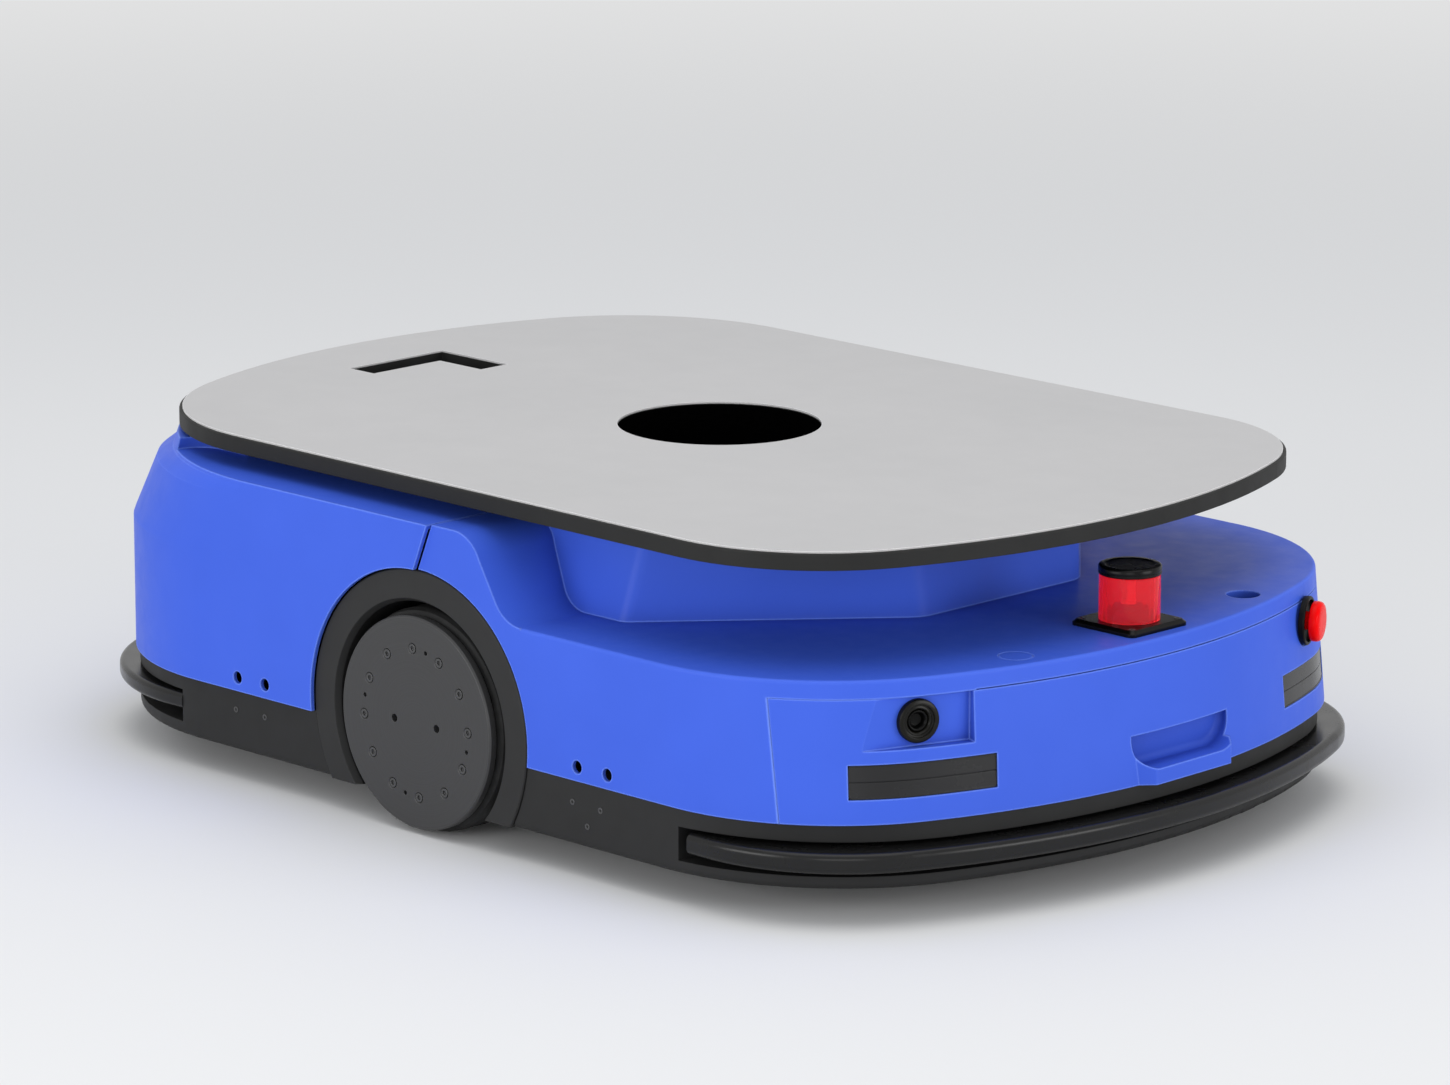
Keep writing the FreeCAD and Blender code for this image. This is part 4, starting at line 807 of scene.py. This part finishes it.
# %% Beacon lens and lamp
lens_low, lens_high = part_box("beacon_lens")
BEACON = Vector(((lens_low.x + lens_high.x) / 2.0, (lens_low.y + lens_high.y) / 2.0, lens_low.z))
LENS_R = (lens_high.x - lens_low.x) / 2.0
LENS_H = lens_high.z - lens_low.z
PRISMS = 24
lens_outline = [(LENS_R - 0.0022, 0.0002), (LENS_R, 0.0002), (LENS_R, LENS_H - 0.0008),
                (LENS_R - 0.0008, LENS_H), (LENS_R - 0.0022, LENS_H)]
lens = turned("beacon_tube", lens_outline, BEACON, UP, PRISMS * 4, True)
deselect()
lens.select_set(True)
bpy.context.view_layer.objects.active = lens
bpy.ops.object.mode_set(mode="EDIT")
bpy.ops.mesh.select_mode(type="VERT")
bpy.ops.mesh.select_all(action="DESELECT")
mesh = bmesh.from_edit_mesh(lens.data)
for v in mesh.verts:
    flat = Vector((v.co.x - BEACON.x, v.co.y - BEACON.y))
    turn = round(math.atan2(flat.y, flat.x) / (2 * math.pi) * PRISMS * 4)
    v.select_set(flat.length < LENS_R - 0.0015 and turn % 4 == 0)
bmesh.update_edit_mesh(lens.data)
bpy.ops.transform.resize(value=(0.955, 0.955, 1.0), center_override=BEACON)
bpy.ops.object.mode_set(mode="OBJECT")
dress(lens, "chassis", "beacon_red", "beacon_lens")
dome_outline = [(0.0180, 0.0000), (0.0180, 0.0030), (0.0168, 0.0062), (0.0140, 0.0092),
                (0.0098, 0.0112), (0.0052, 0.0120)]
dome = turned("beacon_dome", dome_outline, BEACON, UP, 48)
dress(dome, "chassis", "beacon_black")
post_outline = [(0.0062, 0.0105), (0.0062, 0.0140), (0.0048, 0.0150), (0.0048, 0.0300),
                (0.0062, 0.0310), (0.0062, LENS_H - 0.0003)]
post = turned("beacon_post", post_outline, BEACON, UP, 24)
print("beacon at", [round(v, 4) for v in BEACON], "tube radius", round(LENS_R, 4))

# %% [markdown]
# ## Beacon cap and foot screws
# The cap is turned with a groove round its rim and a shallow dish on top. Four
# small screws hold the square foot to the shelf.

# %% Beacon cap and foot screws
cap_low, cap_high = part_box("beacon_cap")
CAP_R = (cap_high.x - cap_low.x) / 2.0
CAP_H = cap_high.z - cap_low.z
cap_outline = [(CAP_R - 0.0030, 0.0), (CAP_R - 0.0003, 0.0), (CAP_R, 0.0004), (CAP_R, 0.0016),
               (CAP_R - 0.0005, 0.0020), (CAP_R - 0.0005, 0.0025), (CAP_R, 0.0029),
               (CAP_R, CAP_H - 0.0016), (CAP_R - 0.0005, CAP_H - 0.0006), (CAP_R - 0.0016, CAP_H),
               (CAP_R - 0.0050, CAP_H), (CAP_R - 0.0056, CAP_H - 0.0005), (0.0004, CAP_H - 0.0005)]
cap = turned("beacon_lid", cap_outline, (BEACON.x, BEACON.y, cap_low.z), UP, 64)
dress(cap, "chassis", "beacon_black", "beacon_cap")
foot_low, foot_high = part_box("beacon_base")
foot_top = lens_low.z
FOOT_SCREW_INSET = 0.0062
reach = (foot_high.x - foot_low.x) / 2.0 - FOOT_SCREW_INSET
pattern = socket_screw("foot_screw", 0.0026, 0.0016, 0.0030, 0.0012)
spots = [(BEACON.x + sx * reach, BEACON.y + sy * reach, foot_top + 0.0002)
         for sx in (1, -1) for sy in (1, -1)]
screws = copy_to(pattern, spots)
screws.name = "beacon_foot_screws"
dress(screws, "chassis", "screw_dark")
bpy.data.objects.remove(pattern)
print("beacon cap radius", round(CAP_R, 4), "foot top", round(foot_top, 4))

# %% [markdown]
# ## Lamp post finish
# The post inside the tube is a pale diffuser, so that it reads as the bright
# core behind the red. It is moulded, with a soft satin skin.

# %% Lamp post finish
LAMP_WHITE = (0.85, 0.80, 0.80)
post.data.materials.clear()
post.data.materials.append(moulded("lamp_post_white", LAMP_WHITE, 0.4, 0.5, 600.0, 0.00001, 0.4))
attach(post, "chassis")
print("post", post.name)

# %% [markdown]
# ## Painted shade in the deck opening
# The code reader looks up through the deck. A near-black sleeve with no shine
# lines the opening; it is painted shade that keeps the hole's wall dark.

# %% Painted shade sleeve
hole_low, hole_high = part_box("deck_plate")
HOLE_R = 0.080
shade_liner, p = shader("painted_shade_sleeve", specular=0.0)
clouds = spread(shade_liner, noise(shade_liner, 300.0, 3.0), 0.0, 1.0)
# painted shade: an almost black tone with no shine on the sleeve in the hole
tone = blend_tones(shade_liner, clouds, (0.0012, 0.0012, 0.0013), (0.0006, 0.0006, 0.0006))
shade_liner.node_tree.links.new(tone, p.inputs["Base Color"])
p.inputs["Roughness"].default_value = 0.95
grain(shade_liner, p, noise(shade_liner, 2600.0, 2.0, 0.8), 0.00012)
sleeve_outline = [(HOLE_R - 0.0008, hole_low.z), (HOLE_R - 0.0001, hole_low.z),
                  (HOLE_R - 0.0001, hole_high.z - 0.0006), (HOLE_R - 0.0008, hole_high.z - 0.0009)]
sleeve = turned("deck_sleeve", sleeve_outline, (0, 0, 0), UP, 96, True)
sleeve.data.materials.append(shade_liner)
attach(sleeve, "deck")
print("sleeve from", round(hole_low.z, 4), "to", round(hole_high.z, 4))

# %% [markdown]
# ## Fastenings underneath
# Seen from below, hex bolts hold the pan, and a hex nut on a washer closes each
# end of a caster's axle. The head is modelled once and copied.

# %% Pan bolts and axle nuts
PAN_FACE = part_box("base_pan")[0].z
NUT_SEAT = 0.007          # from the caster wheel's side to the fork leg's outer face


def hex_head(name, across, height):
    """A six-sided head on a washer, standing on +Z, with chamfered corners."""
    head = turned(name, [(across * 0.78, 0.0), (across * 0.78, 0.0008), (across * 0.72, 0.0010)], steps=24)
    deselect()
    bpy.ops.mesh.primitive_cylinder_add(vertices=6, radius=across / math.sqrt(3), depth=height,
                                        location=(0, 0, 0.0010 + height / 2.0))
    nut = bpy.context.object
    bpy.ops.object.transform_apply(location=True)
    bpy.ops.object.mode_set(mode="EDIT")
    bpy.ops.mesh.select_all(action="SELECT")
    bpy.ops.mesh.bevel(offset=across * 0.05, segments=2)
    bpy.ops.object.mode_set(mode="OBJECT")
    head.select_set(True)
    bpy.context.view_layer.objects.active = head
    bpy.ops.object.join()
    bpy.ops.object.shade_smooth_by_angle(angle=math.radians(30))
    return head


PAN_QUARTER = ((0.405, 0.070), (0.215, 0.262), (0.125, 0.190), (0.170, 0.045))
PAN_SPOTS = [(sx * x, sy * y, PAN_FACE) for x, y in PAN_QUARTER for sx in (1, -1) for sy in (1, -1)]
pattern = hex_head("pan_bolt", 0.010, 0.0030)
bolts = copy_to(pattern, PAN_SPOTS, (0, 0, -1))
bolts.name = "pan_bolts"
dress(bolts, "chassis", "fork_steel")
bpy.data.objects.remove(pattern)
for tag in ("front_left", "front_right", "rear_left", "rear_right"):
    wheel_low, wheel_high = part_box("caster_wheel_" + tag)
    axle = (wheel_low + wheel_high) / 2.0
    leg = (wheel_high.y - wheel_low.y) / 2.0 + NUT_SEAT
    pattern = hex_head("axle_nut", 0.0120, 0.0034)
    near = copy_to(pattern, [(axle.x, axle.y + leg, axle.z)], (0, 1, 0))
    far = copy_to(pattern, [(axle.x, axle.y - leg, axle.z)], (0, -1, 0))
    bpy.data.objects.remove(pattern)
    near.name = "axle_nut_left_of_" + tag
    far.name = "axle_nut_right_of_" + tag
    dress(near, "fork_" + tag, "jack_steel")
    dress(far, "fork_" + tag, "jack_steel")
print("pan bolts", len(PAN_SPOTS), "axle nuts", 8)
